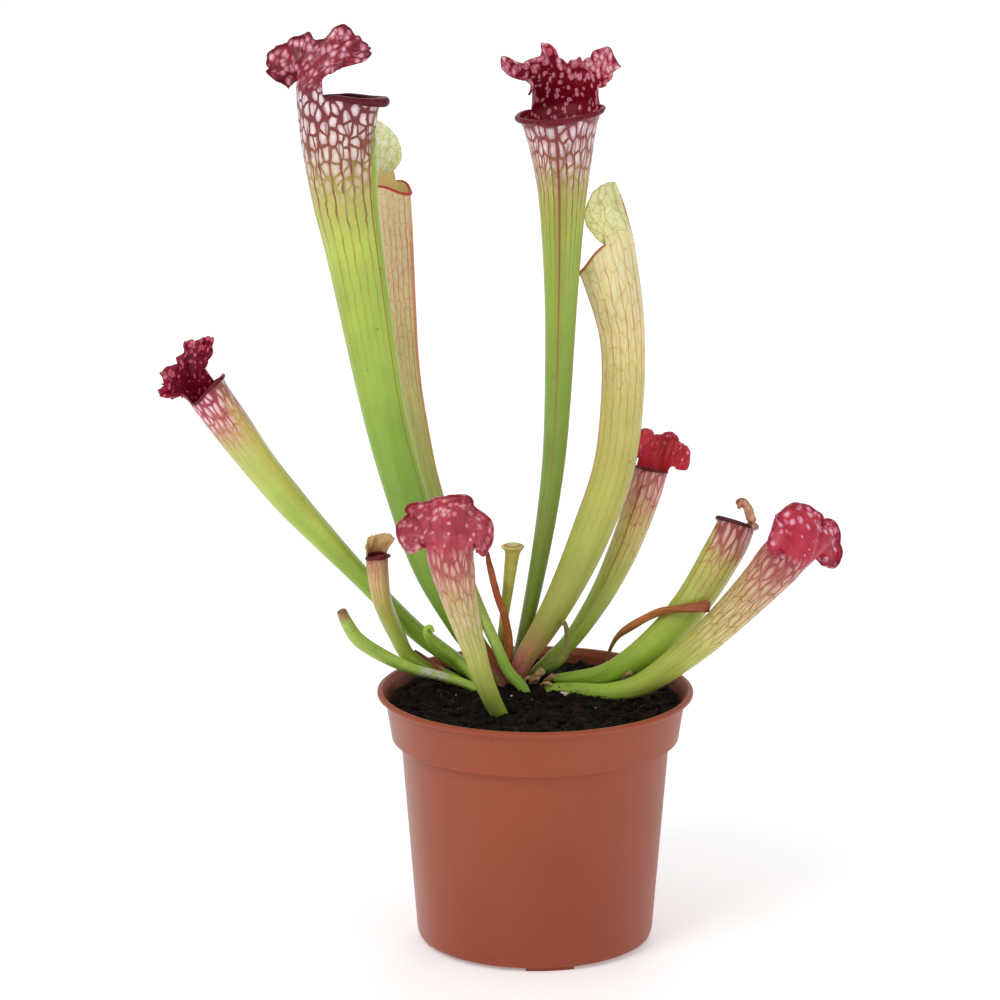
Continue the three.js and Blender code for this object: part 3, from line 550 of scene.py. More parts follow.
# Leaves with no lid: buds, cut and withered ones. "flat" squeezes the tube into a strap.
STALK_FORM = dict(keel=0.1, flat=1.0, crease=0.0)
STALKS = {
    "cut_green_stalk": dict(
        keel=0.12,
        stations=[
            (-19.5, 10.5, 88.5, 1.7), (-22.5, 10.8, 95, 1.8), (-33.8, 13.5, 98.7, 1.9),
            (-46, 10.5, 102.8, 2.1), (-57, 8, 108.5, 2.6), (-67, 5, 116, 2.7), (-71.7, 3, 124, 2.3),
            (-73.4, 2, 128.5, 1.9)]),
    "hooked_green_bud": dict(
        stations=[
            (-20.8, 16.6, 88.5, 1.4), (-22.5, 17, 96, 1.6), (-29.5, 18.5, 104, 1.9),
            (-35.7, 15.5, 109.5, 2.1), (-40.2, 12, 115, 1.9), (-41.3, 10.5, 118.5, 1.4),
            (-39.8, 9.8, 119.8, 1), (-38.8, 9.6, 117.8, 0.7)]),
    "capped_bud": dict(
        stations=[
            (-14, 27.5, 88.5, 1.2), (-13.8, 27.3, 96, 1.4), (-12.6, 27, 112.5, 1.6),
            (-10.5, 26, 129, 2.1), (-9.4, 25.5, 138.3, 2.5), (-8.6, 25, 145.2, 3),
            (-8.5, 25, 147.4, 4.6), (-8.5, 25, 148.6, 2.6)]),
    "dying_bud": dict(
        keel=0.25, flat=0.8, crease=0.25,
        stations=[
            (-0.5, 22.8, 89, 1.2), (0.8, 22.6, 96, 1.4), (4, 21.8, 99.5, 1.6), (8, 20.5, 102.5, 2.4),
            (11.2, 19.5, 106, 1.8), (12.2, 18, 111.7, 1.1), (12, 16.5, 117.4, 1),
            (11, 15.8, 120.2, 0.9), (10, 15.6, 119, 0.7)]),
    "dry_strap_leaf": dict(
        keel=0, flat=0.7, crease=0.6,
        stations=[
            (-11, 25, 88.5, 0.9), (-10.7, 24.7, 96, 1.2), (-9.8, 23.6, 105, 1.6),
            (-10.7, 21.5, 117, 1.9), (-14.6, 19, 130.5, 1.9),
            (-17.3, 18, 142, 1.4), (-18.2, 17.5, 147.5, 0.8)]),
    "withered_pitcher": dict(
        keel=0.15, flat=0.7, crease=0.6,
        stations=[
            (25.5, 30.5, 89, 0.7), (26.6, 28, 97, 0.7), (29, 22, 108, 0.8), (32, 15, 115, 1.3),
            (38.5, 8, 122, 2.1), (47.5, 1, 128.5, 1.9), (54.5, -4.5, 130.8, 1.9), (60, -7, 132, 2.2),
            (63.5, -7.6, 132.8, 2.5), (65.8, -8, 132.4, 1.7)]),
    "dead_leaf_scrap": dict(
        keel=0, flat=0.5, crease=0.3,
        stations=[
            (-33, 17.6, 90.5, 0.8), (-34.2, 17.5, 96, 0.8), (-37, 16.8, 101.5, 1),
            (-41.5, 16.2, 105.5, 0.8), (-46, 15.5, 109, 0.6)]),
    "dry_crown_stub": dict(
        keel=0, flat=0.8, crease=0.7,
        stations=[(-1.2, 17.4, 89, 1.7), (-0.8, 17, 95, 2), (1, 15.8, 99, 1.9), (3.2, 14.6, 101.5, 1.1)]),
}

# Dry flakes and tips too small to be solids of their own, lying round the crown.
SCRAPS = [
    [(3.5, 15.5, 94.5, 0.5), (4.5, 14.5, 97.5, 1.0), (6.5, 13.5, 99.5, 0.9), (8.5, 13, 99, 0.4)],
    [(-3.5, 14, 94, 0.6), (-4.2, 12.8, 97, 1.0), (-3, 11.6, 99.2, 0.8), (-1, 11.2, 99.8, 0.3)],
    [(1.5, 13, 94, 0.5), (2.5, 11.5, 96.6, 0.8), (4.5, 10.8, 97.4, 0.7), (6.5, 10.5, 96.4, 0.4)],
    [(-8.5, 13.5, 94.5, 0.5), (-7.8, 12.5, 97.5, 0.8), (-8.5, 11.5, 100, 0.7), (-10, 11, 101, 0.3)],
    [(33, 6, 99.6, 0.5), (34.2, 5.4, 101.6, 0.9), (35.8, 5, 103.2, 1.0), (37, 4.8, 102.6, 0.4)],
]

SHEET = 0.6  # thickness of a pitcher's wall and hood, mm
TUBE_ROWS = [*np.linspace(0.0, 0.9, 38), *np.linspace(0.9, 1.0, 12)[1:]]
MOUTH_START = 0.88  # share of the way up where the mouth begins to take shape
FRONT_COLUMNS = 15
BACK_COLUMNS = 96
FIRST = FRONT_COLUMNS  # the columns from FIRST to LAST grow on into the hood
LAST = FRONT_COLUMNS + BACK_COLUMNS
HOOD_ROWS = 14
CURL_ROWS = 5
LIP_ROWS = 7
LIP_TURN = math.radians(290)
STRAP_TURN = math.radians(115)
FOLD_WIDTH = 0.06  # of the crease down a hood's middle, as a share of its outline
STALK_ROWS = 44
STALK_COLUMNS = 20


def unit(v):
    return v / max(np.linalg.norm(v), 1e-9)


def ease(t, low, high):
    return min(max((t - low) / (high - low), 0.0), 1.0)


def curve_through(points, t):
    """A smooth line through evenly spaced points; t runs from 0 to 1."""
    points = np.asarray(points, float)
    last = len(points) - 1
    along = ease(t, 0.0, 1.0) * last
    index = min(int(along), last - 1)
    w = along - index
    p1, p2 = points[index], points[index + 1]
    p0 = points[index - 1] if index > 0 else 2 * p1 - p2
    p3 = points[index + 2] if index + 2 <= last else 2 * p2 - p1
    m1, m2 = 0.5 * (p2 - p0), 0.5 * (p3 - p1)
    return (p1 + w * m1 + w * w * (3 * (p2 - p1) - 2 * m1 - m2)
            + w ** 3 * (2 * (p1 - p2) + m1 + m2))


def frame_at(leaf, t):
    """Middle, direction, front, left and radius of a leaf at t."""
    at = curve_through(leaf["stations"], t)
    before = curve_through(leaf["stations"], max(t - 1e-3, 0))[:3]
    after = curve_through(leaf["stations"], min(t + 1e-3, 1))[:3]
    along = unit(after - before)
    front = np.array([*leaf.get("front", (0, -1)), 0.0])
    front = unit(front - along * front.dot(along))
    return at[:3], along, front, np.cross(along, front), at[3]


def climb(rings):
    """How far up the leaf each of the frames lies, in the map's centimetres."""
    middles = [ring[0] for ring in rings]
    return np.cumsum([0.0, *(np.linalg.norm(b - a) / 10 for a, b in zip(middles, middles[1:]))])


def waver(*place):
    """Smooth noise at a place, about -0.5 to 0.5."""
    return noise.noise(Vector(place))


class Sheet:
    """A surface under construction: its points are given in millimetres, with their place on the leaf."""

    def __init__(self):
        self.points, self.faces, self.maps = [], [], []

    def point(self, place, across, along, zone, edge=0.0, lip=0.0):
        self.points.append(np.asarray(place) * MM)
        self.maps.append((across, along, zone, edge, lip))
        return len(self.points) - 1

    def join_rings(self, rings):
        for lower, upper in zip(rings, rings[1:]):
            for c in range(len(lower)):
                d = (c + 1) % len(lower)
                self.faces.append((lower[c], lower[d], upper[d], upper[c]))

    def join_lines(self, lines):
        for lower, upper in zip(lines, lines[1:]):
            for c in range(len(lower) - 1):
                self.faces.append((lower[c], lower[c + 1], upper[c + 1], upper[c]))

    def cap(self, ring, tip, below):
        """Closes a ring to one point, which lies below it or above."""
        for c in range(len(ring)):
            d = (c + 1) % len(ring)
            self.faces.append((ring[d], ring[c], tip) if below else (ring[c], ring[d], tip))

    def build(self, name, girth):
        """Makes the mesh. The map goes once round the tube, and is mended on the seam's faces."""
        piece = new_piece(name, [tuple(p) for p in self.points], self.faces)
        leaf_map = piece.data.uv_layers.new(name="leaf")
        zone_map = piece.data.uv_layers.new(name="zone")
        mark_map = piece.data.uv_layers.new(name="mark")
        for polygon in piece.data.polygons:
            values = [self.maps[i] for i in polygon.vertices]
            widest = max(v[0] for v in values)
            for loop, (across, along, zone, edge, lip) in zip(polygon.loop_indices, values):
                if widest - across > girth / 2:
                    across += girth
                leaf_map.data[loop].uv = (across, along)
                zone_map.data[loop].uv = (zone, edge)
                mark_map.data[loop].uv = (lip, 0.0)
        smooth(piece)
        return piece


def pitcher_columns(spread):
    """Angles round the mouth, from the keel: few in front, many at the back where the hood fans out."""
    start, end = math.pi - math.radians(spread[0]), math.pi + math.radians(spread[1])
    left_side = np.linspace(0, start, FRONT_COLUMNS + 1)
    back = np.linspace(start, end, BACK_COLUMNS + 1)
    right_side = np.linspace(end, TURN, FRONT_COLUMNS + 1)
    return [*left_side, *back[1:], *right_side[1:-1]]


def wall_point(leaf, at, angle, t, seed):
    """A point of the wall's middle: the tube with its keel, its beak and the tilt of its mouth."""
    middle, along, front, left, radius = at
    facing = max(0.0, math.cos(angle))
    near_mouth = ease(t, MOUTH_START, 1.0)
    swell = 0.02 * waver(3 * math.cos(angle), 3 * math.sin(angle), 9 * t + seed)
    ridge = leaf["keel"] * facing ** 10
    reach = radius * (1 + ridge + swell + leaf["flare"] * near_mouth ** 3) - SHEET / 2
    reach += leaf["beak"] * near_mouth ** 3 * facing ** 4
    lift = near_mouth * (leaf["spout"] * facing ** 2 + leaf["tilt"] * math.sin(angle))
    return middle + reach * (math.cos(angle) * front + math.sin(angle) * left) + lift * along


class Pitcher(Sheet):
    """A trumpet leaf in one sheet: the tube, then the lip and the hood that grow from its mouth."""

    def __init__(self, leaf, seed):
        super().__init__()
        self.leaf, self.seed = leaf, seed
        self.angles = pitcher_columns(leaf["spread"])
        rings = [frame_at(leaf, t) for t in TUBE_ROWS]
        self.mouth = rings[-1]
        self.girth = TURN * self.mouth[4] / 10
        lengths = climb(rings)
        self.length = lengths[-1]
        tube = [[self.point(wall_point(leaf, at, angle, t, seed), angle / TURN * self.girth, length, t)
                 for angle in self.angles] for t, at, length in zip(TUBE_ROWS, rings, lengths)]
        self.top = tube[-1]
        self.join_rings(tube)
        self.cap(tube[0], self.point(rings[0][0], 0.5 * self.girth, 0.0, 0.0), True)
        self.add_lip()
        self.add_hood()

    def add_lip(self):
        """The rim of the mouth rolls outwards and down in front, and dies away at the hood."""
        _, along, front, left, _ = self.mouth
        count = len(self.angles)
        columns = [c % count for c in range(LAST, FIRST + count + 1)]
        lines = [[self.top[c] for c in columns]]
        for row in range(1, LIP_ROWS + 1):
            turn = LIP_TURN * row / LIP_ROWS
            line = []
            for c in columns:
                angle = self.angles[c]
                outward = math.cos(angle) * front + math.sin(angle) * left
                rolled = (1 - math.cos(turn)) * outward + math.sin(turn) * along
                place = self.points[self.top[c]] / MM + self.lip_size(angle) * rolled
                across, up = angle / TURN * self.girth, self.length + 0.02 * row
                line.append(self.point(place, across, up, 1.0, lip=1.0))
            lines.append(line)
        self.join_lines(lines)

    def lip_size(self, angle):
        """Radius of the lip's roll: full in front, knobbed over the keel, thin beside the hood."""
        leaf, facing = self.leaf, math.cos(angle)
        if angle < math.pi:
            off = angle / self.angles[FIRST]
        else:
            off = (TURN - angle) / (TURN - self.angles[LAST])
        size = max(0.25, leaf["lip"] - 0.3) * (0.2 + 0.8 * math.sqrt(max(0.0, 1 - off ** 4)))
        size *= 1 + leaf["knob"] * max(0.0, facing) ** 12
        size *= 1 - leaf["taper"] * (1 - facing) / 2
        return size * (1 + 0.2 * waver(5 * facing, 5 * math.sin(angle), self.seed))

    def add_hood(self):
        """The lid rises from the back of the mouth and opens out to its waved, lobed edge."""
        columns = list(range(FIRST, LAST + 1))
        surface = strap_surface if "strap" in self.leaf else hood_surface
        rows = surface(self.leaf, self.mouth, [self.points[self.top[c]] / MM for c in columns], self.seed)
        widths = np.linalg.norm(np.diff(rows, axis=1), axis=2).sum(axis=1)
        centre = len(columns) // 2
        lines = [[self.top[c] for c in columns]]
        climbed = self.length
        for row in range(1, len(rows)):
            spread = (widths[row] / widths[0]) ** 0.75
            climbed += np.linalg.norm(rows[row, centre] - rows[row - 1, centre]) / 10
            v = min(1.0, row / HOOD_ROWS)
            past = max(0, row - HOOD_ROWS) / CURL_ROWS
            line = []
            for k, c in enumerate(columns):
                side = abs(2 * k / (len(columns) - 1) - 1)
                edge = max(0.8 * v ** 2 + 0.2 * past, side ** 10)
                across = (0.5 + (self.angles[c] - math.pi) / TURN * spread) * self.girth
                line.append(self.point(rows[row, k], across, climbed, 1 + v, edge))
            lines.append(line)
        self.join_lines(lines)


def hood_surface(leaf, mouth, roots, seed):
    """Rows of points from the back of the mouth to the lid's waved edge, which curls back."""
    us = np.linspace(1, 0, len(roots))
    necks, tips = hood_controls(leaf, mouth, roots, us, seed)
    rows = []
    for v in np.arange(HOOD_ROWS + 1) / HOOD_ROWS:
        rows.append([(1 - v) ** 2 * root + 2 * v * (1 - v) * neck + v * v * tip
                     for root, neck, tip in zip(roots, necks, tips)])
    flat = np.array(rows)
    up = np.gradient(flat, axis=0)
    normals = np.cross(np.gradient(flat, axis=1), up)
    normals /= np.maximum(np.linalg.norm(normals, axis=2, keepdims=True), 1e-9)
    waved = flat.copy()
    for row in range(1, HOOD_ROWS + 1):
        for k, u in enumerate(us):
            waved[row, k] += hood_wave(leaf, u, row / HOOD_ROWS, seed) * normals[row, k]
    curl, curl_turn = leaf["curl"]
    for row in range(1, CURL_ROWS + 1):
        turn = math.radians(curl_turn) * row / CURL_ROWS
        line = [edge + curl * (math.sin(turn) * unit(out) + (1 - math.cos(turn)) * normal)
                for edge, out, normal in zip(waved[HOOD_ROWS], up[-1], normals[-1])]
        waved = np.concatenate([waved, [line]])
    return waved


def hood_controls(leaf, mouth, roots, us, seed):
    """For each column, the point that bends the lid over the mouth, and the toothed edge it ends at."""
    middle, along, _, left, _ = mouth
    outline = np.array(leaf["hood"], float) + middle
    curl = leaf["curl"][0]
    necks, tips = [], []
    for u, root in zip(us, roots):
        off = root - middle
        off -= along * off.dot(along)
        rise = leaf["neck"] * (1 - leaf["sag"] * abs(2 * u - 1) ** 4)
        neck = middle + leaf["hug"] * off + rise * along + leaf["shift"] * left
        teeth = abs(waver(24 * u, seed, 1.0)) + 0.6 * abs(waver(52 * u, seed, 4.0))
        tip = curve_through(outline, u)
        necks.append(neck)
        tips.append(tip - (leaf["frill"] * teeth + 0.8 * curl) * unit(tip - neck))
    return necks, tips


def hood_wave(leaf, u, v, seed):
    """How far the lid stands off its plain shape: ruffles at the edge and a fold down the middle."""
    wave = math.sin(TURN * leaf["waves"] * u + seed + 3 * waver(5 * u, seed, 0.0))
    height = wave * leaf["ruffle"] * v ** 3
    height += 0.7 * leaf["ruffle"] * v * v * waver(9 * u, 4 * v, seed)
    fold = math.exp(-((u - 0.5) / FOLD_WIDTH) ** 2) * leaf["fold"] * v * (1 - 0.4 * v)
    return height + fold


def strap_surface(leaf, mouth, roots, seed):
    """Rows of points along a withered lid: a narrow strap, rolled in and bent over to a curled tip."""
    middle, _, front, left, _ = mouth
    count = HOOD_ROWS + CURL_ROWS
    rows = [roots]
    for row in range(1, count + 1):
        v = row / count
        here = curve_through(leaf["strap"], v)
        ahead = unit(curve_through(leaf["strap"], min(1.0, v + 0.02))[:3]
                     - curve_through(leaf["strap"], v - 0.02)[:3])
        across = unit(left - ahead * left.dot(ahead))
        outward = np.cross(across, ahead)
        if outward.dot(front) > 0 and v < 0.2:
            outward = -outward
        blend = min(1.0, v / 0.3) ** 0.5
        line = []
        for k, root in enumerate(roots):
            turn = STRAP_TURN * (1 - 2 * k / (len(roots) - 1))
            crumple = 1 + 0.5 * waver(3 * math.sin(turn), 11 * v, seed)
            aside = math.cos(turn) * outward + math.sin(turn) * across
            edge = middle + here[:3] + here[3] * crumple * aside
            line.append((1 - blend) * root + blend * edge)
        rows.append(line)
    return np.array(rows)


def make_stalk(name, leaf, seed):
    """A closed stalk: round or squeezed flat, creased where it has dried."""
    sheet = Sheet()
    girth = TURN * max(station[3] for station in leaf["stations"]) / 10
    levels = [row / STALK_ROWS for row in range(STALK_ROWS + 1)]
    frames = [frame_at(leaf, t) for t in levels]
    lengths = climb(frames)
    rings = []
    for t, (middle, _, front, left, radius), length in zip(levels, frames, lengths):
        twist = leaf["crease"] * 4 * t
        ring = []
        for c in range(STALK_COLUMNS):
            angle = TURN * c / STALK_COLUMNS
            crease = waver(2 * math.cos(angle), 2 * math.sin(angle), 7 * t + seed)
            reach = radius * (1 + leaf["crease"] * crease + leaf["keel"] * max(0.0, math.cos(angle)) ** 10)
            a, b = reach * math.cos(angle) * leaf["flat"], reach * math.sin(angle)
            x, y = a * math.cos(twist) - b * math.sin(twist), a * math.sin(twist) + b * math.cos(twist)
            ring.append(sheet.point(middle + x * front + y * left, c / STALK_COLUMNS * girth, length, t))
        rings.append(ring)
    sheet.join_rings(rings)
    for end in (0, -1):
        tip = sheet.point(frames[end][0], 0.5 * girth, lengths[end], levels[end])
        sheet.cap(rings[end], tip, end == 0)
    return sheet.build(name + "_leaf", girth)


# ---------------------------------------------------------------- leaf finishes

SOIL_CRUMB = shade(36, 26, 18)
BLEMISH = shade(110, 80, 40)
DRY_CRUST = shade(196, 196, 182)


class LeafPaint:
    """A pitcher's colours, put on layer by layer.

    "across" and "along" are the leaf's map in centimetres, from the keel and from the foot. "zone" is 0
    at the foot, 1 at the mouth and 2 at the hood's edge, "edge" grows to 1 at that edge, and "lip" is 1
    on the lip.
    """

    def __init__(self, n, look):
        self.n, self.look = n, look
        self.across, self.along = n.uv("leaf")
        self.zone, self.edge = n.uv("zone")
        self.lip, _ = n.uv("mark")
        self.strip = n.vector(self.across, self.along)
        self.patchy = n.noise(n.stretch(self.strip, (2.0, 0.35, 0.0)), 1.0, 4.0)
        self.reach = n.plus(self.zone, n.times(n.minus(self.patchy, 0.5), look["ragged"]))
        pane = n.ramp(self.zone, look["panes_from"][1], 1.0, *look["pane_size"])
        self.net = self.veins(*look["cell"], look["line"], look["wander"], pane)
        self.lines = self.veins(look["vein_gap"], 2.0, look["vein_line"], 0.12)
        self.fine = self.veins(0.11, 1.6, 0.3, 0.05)
        self.vein_colour = n.mix(
            n.ramp(self.zone, look["veins_from"][0], 0.95), self.tone("vein_low"), self.tone("vein"))
        self.sizes = n.noise(n.place(), 90.0)
        self.margin = n.plus(self.edge, n.times(n.minus(self.sizes, 0.5), 0.8))
        self.spots = n.group(SPOTS, Size=n.ramp(self.margin, *look["spots_from"], *look["spot_size"]),
                             Scale=look["spot_scale"], Line=look["hood_line"])

    def tone(self, key):
        return shade(*self.look[key])

    def veins(self, width, length, line, wander, pane=0.36):
        return self.n.group(VEIN_NET, Across=self.across, Along=self.along, Width=width, Length=length,
                            Line=line, Wander=wander, Pane=pane)

    def tube(self):
        """Green below, and deep red or pale at the mouth, with darker patches and streaks low down."""
        n = self.n
        colour = n.colours(n.times(self.reach, 0.5), [(t / 2, tone) for t, tone in self.look["tube"]])
        low_part = n.fade(self.zone, 0.6, 0.85)
        patches = n.times(n.ramp(self.patchy, 0.42, 0.68, 0.0, 0.35), low_part)
        colour = n.mix(patches, colour, self.tone("patch"))
        return n.mix(n.times(self.fine["Veins"], 0.2, low_part), colour, self.tone("deep"))

    def panes(self, colour):
        """Pale panes between net-like veins, round the mouth, kept clear of the long veins."""
        n, look, zone = self.n, self.look, self.zone
        start, full = look["panes_from"]
        lane = n.ramp(self.lines["Lane"], 0.0, 0.12, n.ramp(zone, 0.86, 0.97), 1.0)
        panes = n.times(self.net["Panes"], lane, n.ramp(self.reach, start, full), look["pane_strength"])
        pane = n.mix(n.ramp(zone, start + 0.03, 0.98), self.tone("pane_low"), self.tone("pane"))
        pane = n.mix(n.ramp(self.net["Cells"], 0.12, 0.42, 0.0, 0.6), pane, self.tone("pane_rim"))
        net = n.times(self.net["Net"], n.ramp(self.reach, *look["net_from"], 0.0, look["net_strength"]))
        return n.mix(net, n.mix(panes, colour, pane), self.tone("net"))

    def long_veins(self, colour):
        """Veins that run up the tube, broken here and there, and fainter at the mouth."""
        n, look, zone = self.n, self.look, self.zone
        broken = n.ramp(n.noise(n.stretch(self.strip, (3.0, 1.0, 0.0)), 1.0), 0.3, 0.6, 0.35, 1.0)
        drawn = n.ramp(zone, *look["veins_from"], 0.0, look["vein_strength"])
        faint = n.ramp(zone, 0.9, 0.98, 1.0, 0.5)
        return n.mix(n.times(self.lines["Veins"], drawn, broken, faint), colour, self.vein_colour)

    def keel(self, colour):
        """The keel stays plain between two darker lines."""
        n, look, zone = self.n, self.look, self.zone
        girth, width = look["girth"], look["keel_width"]
        from_keel = n.math("DIVIDE", n.math("MINIMUM", self.across, n.minus(girth, self.across)), girth)
        plain = n.times(n.fade(from_keel, 0.6 * width, width), n.ramp(zone, 0.3, 0.7),
                        n.ramp(zone, 0.86, 0.97, 1.0, look["keel_top"]), look["keel_strength"])
        seam = n.times(n.fade(n.math("ABSOLUTE", n.minus(from_keel, look["seam"])), 0.0015, 0.006),
                       n.ramp(zone, 0.2, 0.8, 0.1, look["seam_strength"]))
        return n.mix(seam, n.mix(plain, colour, self.tone("keel_colour")), self.vein_colour)

    def dirt(self, colour):
        """Crumbs of soil near the foot and small brown blemishes all over."""
        n = self.n
        place = n.place()
        crumbs = n.times(n.fade(n.voronoi(n.wobble(place, 900.0, 0.001), 560.0), 0.18, 0.3),
                         n.ramp(n.noise(place, 90.0, 4.0), 0.48, 0.56),
                         n.ramp(self.zone, 0.16, 0.42, self.look["soiled"], 0.0))
        blemish = n.times(n.fade(n.voronoi(place, 150.0), 0.07, 0.14),
                          n.ramp(n.noise(place, 40.0, 2.0), 0.54, 0.62), 0.45)
        return n.mix(blemish, n.mix(crumbs, colour, SOIL_CRUMB), BLEMISH)

    def hood(self, colour):
        """Past the mouth: a deep colour broken by pale spots, more of them towards the edge, and veins."""
        n, look = self.n, self.look
        flush = n.mix(n.ramp(self.sizes, 0.35, 0.65), self.tone("hood"), self.tone("hood_light"))
        spot = n.mix(self.spots["Heart"], self.tone("spot_rim"), self.tone("spot_colour"))
        lid = n.mix(n.times(self.spots["Spots"], look["spot_strength"]), flush, spot)
        branches = self.veins(look["vein_gap"] * 1.3, 2.0, look["vein_line"], 0.25)
        lid = n.mix(n.times(self.spots["Net"], look["hood_net"]), lid, self.tone("hood_line_colour"))
        lid = n.mix(n.times(branches["Veins"], look["hood_veins"]), lid, self.tone("hood_line_colour"))
        return n.mix(n.ramp(self.zone, 1.0, 1.35), colour, lid)

    def borders(self, colour):
        """The line up the back, in the lip's colour, and the hood's dark edge."""
        n, look = self.n, self.look
        from_ridge = n.minus(n.math("DIVIDE", self.across, look["girth"]), look["ridge_at"])
        ridge = n.times(n.fade(n.math("ABSOLUTE", from_ridge), 0.003, 0.016), look["ridge"])
        edge = n.ramp(self.edge, 0.84, 0.98, 0.0, look["edge_strength"])
        return n.mix(edge, n.mix(ridge, colour, self.tone("lip")), self.tone("edge"))

    def lining(self, colour):
        """Inside: a spotted lining that gives way to the hood's own colour, and deeper in the tube goes over
        to the throat colour, which in the red pitchers is painted shade.
        """
        n, look = self.n, self.look
        spots = n.times(self.spots["Spots"], look["inside_spots"])
        lining = n.mix(spots, self.tone("inside"), self.tone("inside_spot"))
        lining = n.mix(n.times(self.fine["Veins"], look["inside_lines"]), lining, self.tone("throat"))
        start = look["inside_to"]
        own = n.times(n.ramp(self.margin, start, start + 0.35), n.ramp(self.zone, 1.1, 1.4))
        colour = n.mix(own, lining, colour)
        # deeper in the tube the inside goes over to the throat colour; where that is near-black it is
        # painted shade of the narrow tube
        return n.mix(n.ramp(self.zone, 0.8, 1.03, 0.96, 0.0), colour, self.tone("throat"))


def finish_leaf(n, shader, colour, leaf_map, raised, gloss, relief):
    across, along = leaf_map
    skin = n.group(LEAF_SKIN, Across=across, Along=along, Raised=raised, Gloss=gloss, Relief=relief)
    n.feed(shader, Base_Color=colour, Roughness=skin["Roughness"], Normal=skin["Normal"])


def leaf_material(name, look, inside):
    """A pitcher's wall and hood, outside or inside."""
    sheen, coat = look["inner_sheen" if inside else "sheen"]
    material, n, shader = new_material(
        name, Specular_IOR_Level=sheen, Coat_Weight=coat, Coat_Roughness=0.25,
        Subsurface_Weight=look["glow"], Subsurface_Scale=0.003, Subsurface_Radius=look["glow_reach"])
    paint = LeafPaint(n, look)
    colour = paint.tube()
    for layer in (paint.panes, paint.long_veins, paint.keel, paint.dirt, paint.hood, paint.borders):
        colour = layer(colour)
    if inside:
        colour = paint.lining(colour)
    colour = n.mix(n.ramp(paint.lip, 0.05, 0.5, 0.0, 0.95), colour, paint.tone("lip"))
    colour = n.group(MOTTLE, Colour=colour, Scale=45.0, Amount=0.1)["Colour"]
    raised = n.times(paint.net["Panes"], n.ramp(paint.zone, 0.7, 1.0))
    finish_leaf(n, shader, colour, (paint.across, paint.along), raised, look["gloss"], 0.35)
    return material


def stalk_material(name, stops, vein, roughness, relief, crust=0.0):
    """A stalk or dry leaf: colours along its length, fine lines running up it, and a band of dry crust."""
    material, n, shader = new_material(name, Subsurface_Weight=0.05, Subsurface_Scale=0.003)
    across, along = n.uv("leaf")
    zone, _ = n.uv("zone")
    place = n.place()
    lines = n.group(VEIN_NET, Across=across, Along=along, Width=0.1, Length=1.2, Line=0.16, Wander=0.1)
    worn = n.plus(zone, n.times(n.minus(n.noise(place, 160.0, 4.0), 0.5), 0.12))
    colour = n.mix(n.times(lines["Veins"], 0.35), n.colours(worn, stops), shade(*vein))
    colour = n.group(MOTTLE, Colour=colour, Scale=220.0, Amount=0.18)["Colour"]
    band = n.times(n.ramp(zone, 0.26, 0.31), n.fade(zone, 0.38, 0.43))
    crumbs = n.times(n.ramp(n.noise(place, 700.0, 5.0, 0.7), 0.42, 0.52), crust, band)
    colour = n.mix(crumbs, colour, DRY_CRUST)
    raised = n.plus(lines["Veins"], n.times(crumbs, 2.5))
    finish_leaf(n, shader, colour, (across, along), raised, roughness, relief)
    return material


# What each pitcher's look starts from. Colours are as seen on a screen, "..._from" gives the zones where
# a layer starts and is full, and lengths are in centimetres or shares of the leaf's girth.
LOOK = dict(
    tube=[(0.0, (120, 150, 50)), (0.15, (128, 166, 54)), (0.5, (140, 172, 60)), (0.68, (176, 190, 84)),
          (0.82, (196, 170, 110)), (0.93, (170, 92, 88)), (1.0, (140, 48, 64))],
    patch=(112, 156, 48), deep=(92, 130, 40), ragged=0.08, soiled=0.35,
    cell=(0.19, 0.3), line=0.1, wander=0.24, net=(140, 44, 60), net_from=(0.8, 0.95), net_strength=0.25,
    pane=(228, 176, 184), pane_low=(222, 204, 166), pane_rim=(204, 124, 134), pane_size=(0.5, 0.36),
    panes_from=(0.72, 0.88), pane_strength=0.8,
    vein=(138, 40, 48), vein_low=(176, 110, 60), vein_gap=0.24, vein_line=0.16, vein_strength=0.75,
    veins_from=(0.5, 0.85),
    keel_colour=(150, 176, 62), keel_strength=0.3, keel_width=0.05, keel_top=0.3, seam=0.05,
    seam_strength=0.5, ridge=0.0, ridge_at=0.5,
    hood=(158, 34, 58), hood_light=(184, 56, 80), hood_line=0.06, hood_line_colour=(112, 18, 40),
    hood_net=0.25, hood_veins=0.2, edge=(96, 16, 34), edge_strength=0.75, lip=(92, 16, 32),
    spot_colour=(246, 204, 212), spot_rim=(212, 110, 130), spot_scale=430.0, spot_size=(0.12, 0.4),
    spots_from=(0.35, 0.9), spot_strength=0.9,
    inside=(126, 14, 36), inside_spots=0.6, inside_spot=(216, 104, 126), inside_lines=0.3, inside_to=0.5,
    # throat: the inside's colour deep in the tube, near-black here as painted shade
    throat=(48, 8, 18),
    gloss=0.36, sheen=(0.35, 0.08), inner_sheen=(0.2, 0.0), glow=0.06, glow_reach=(0.6, 0.8, 0.2),
)

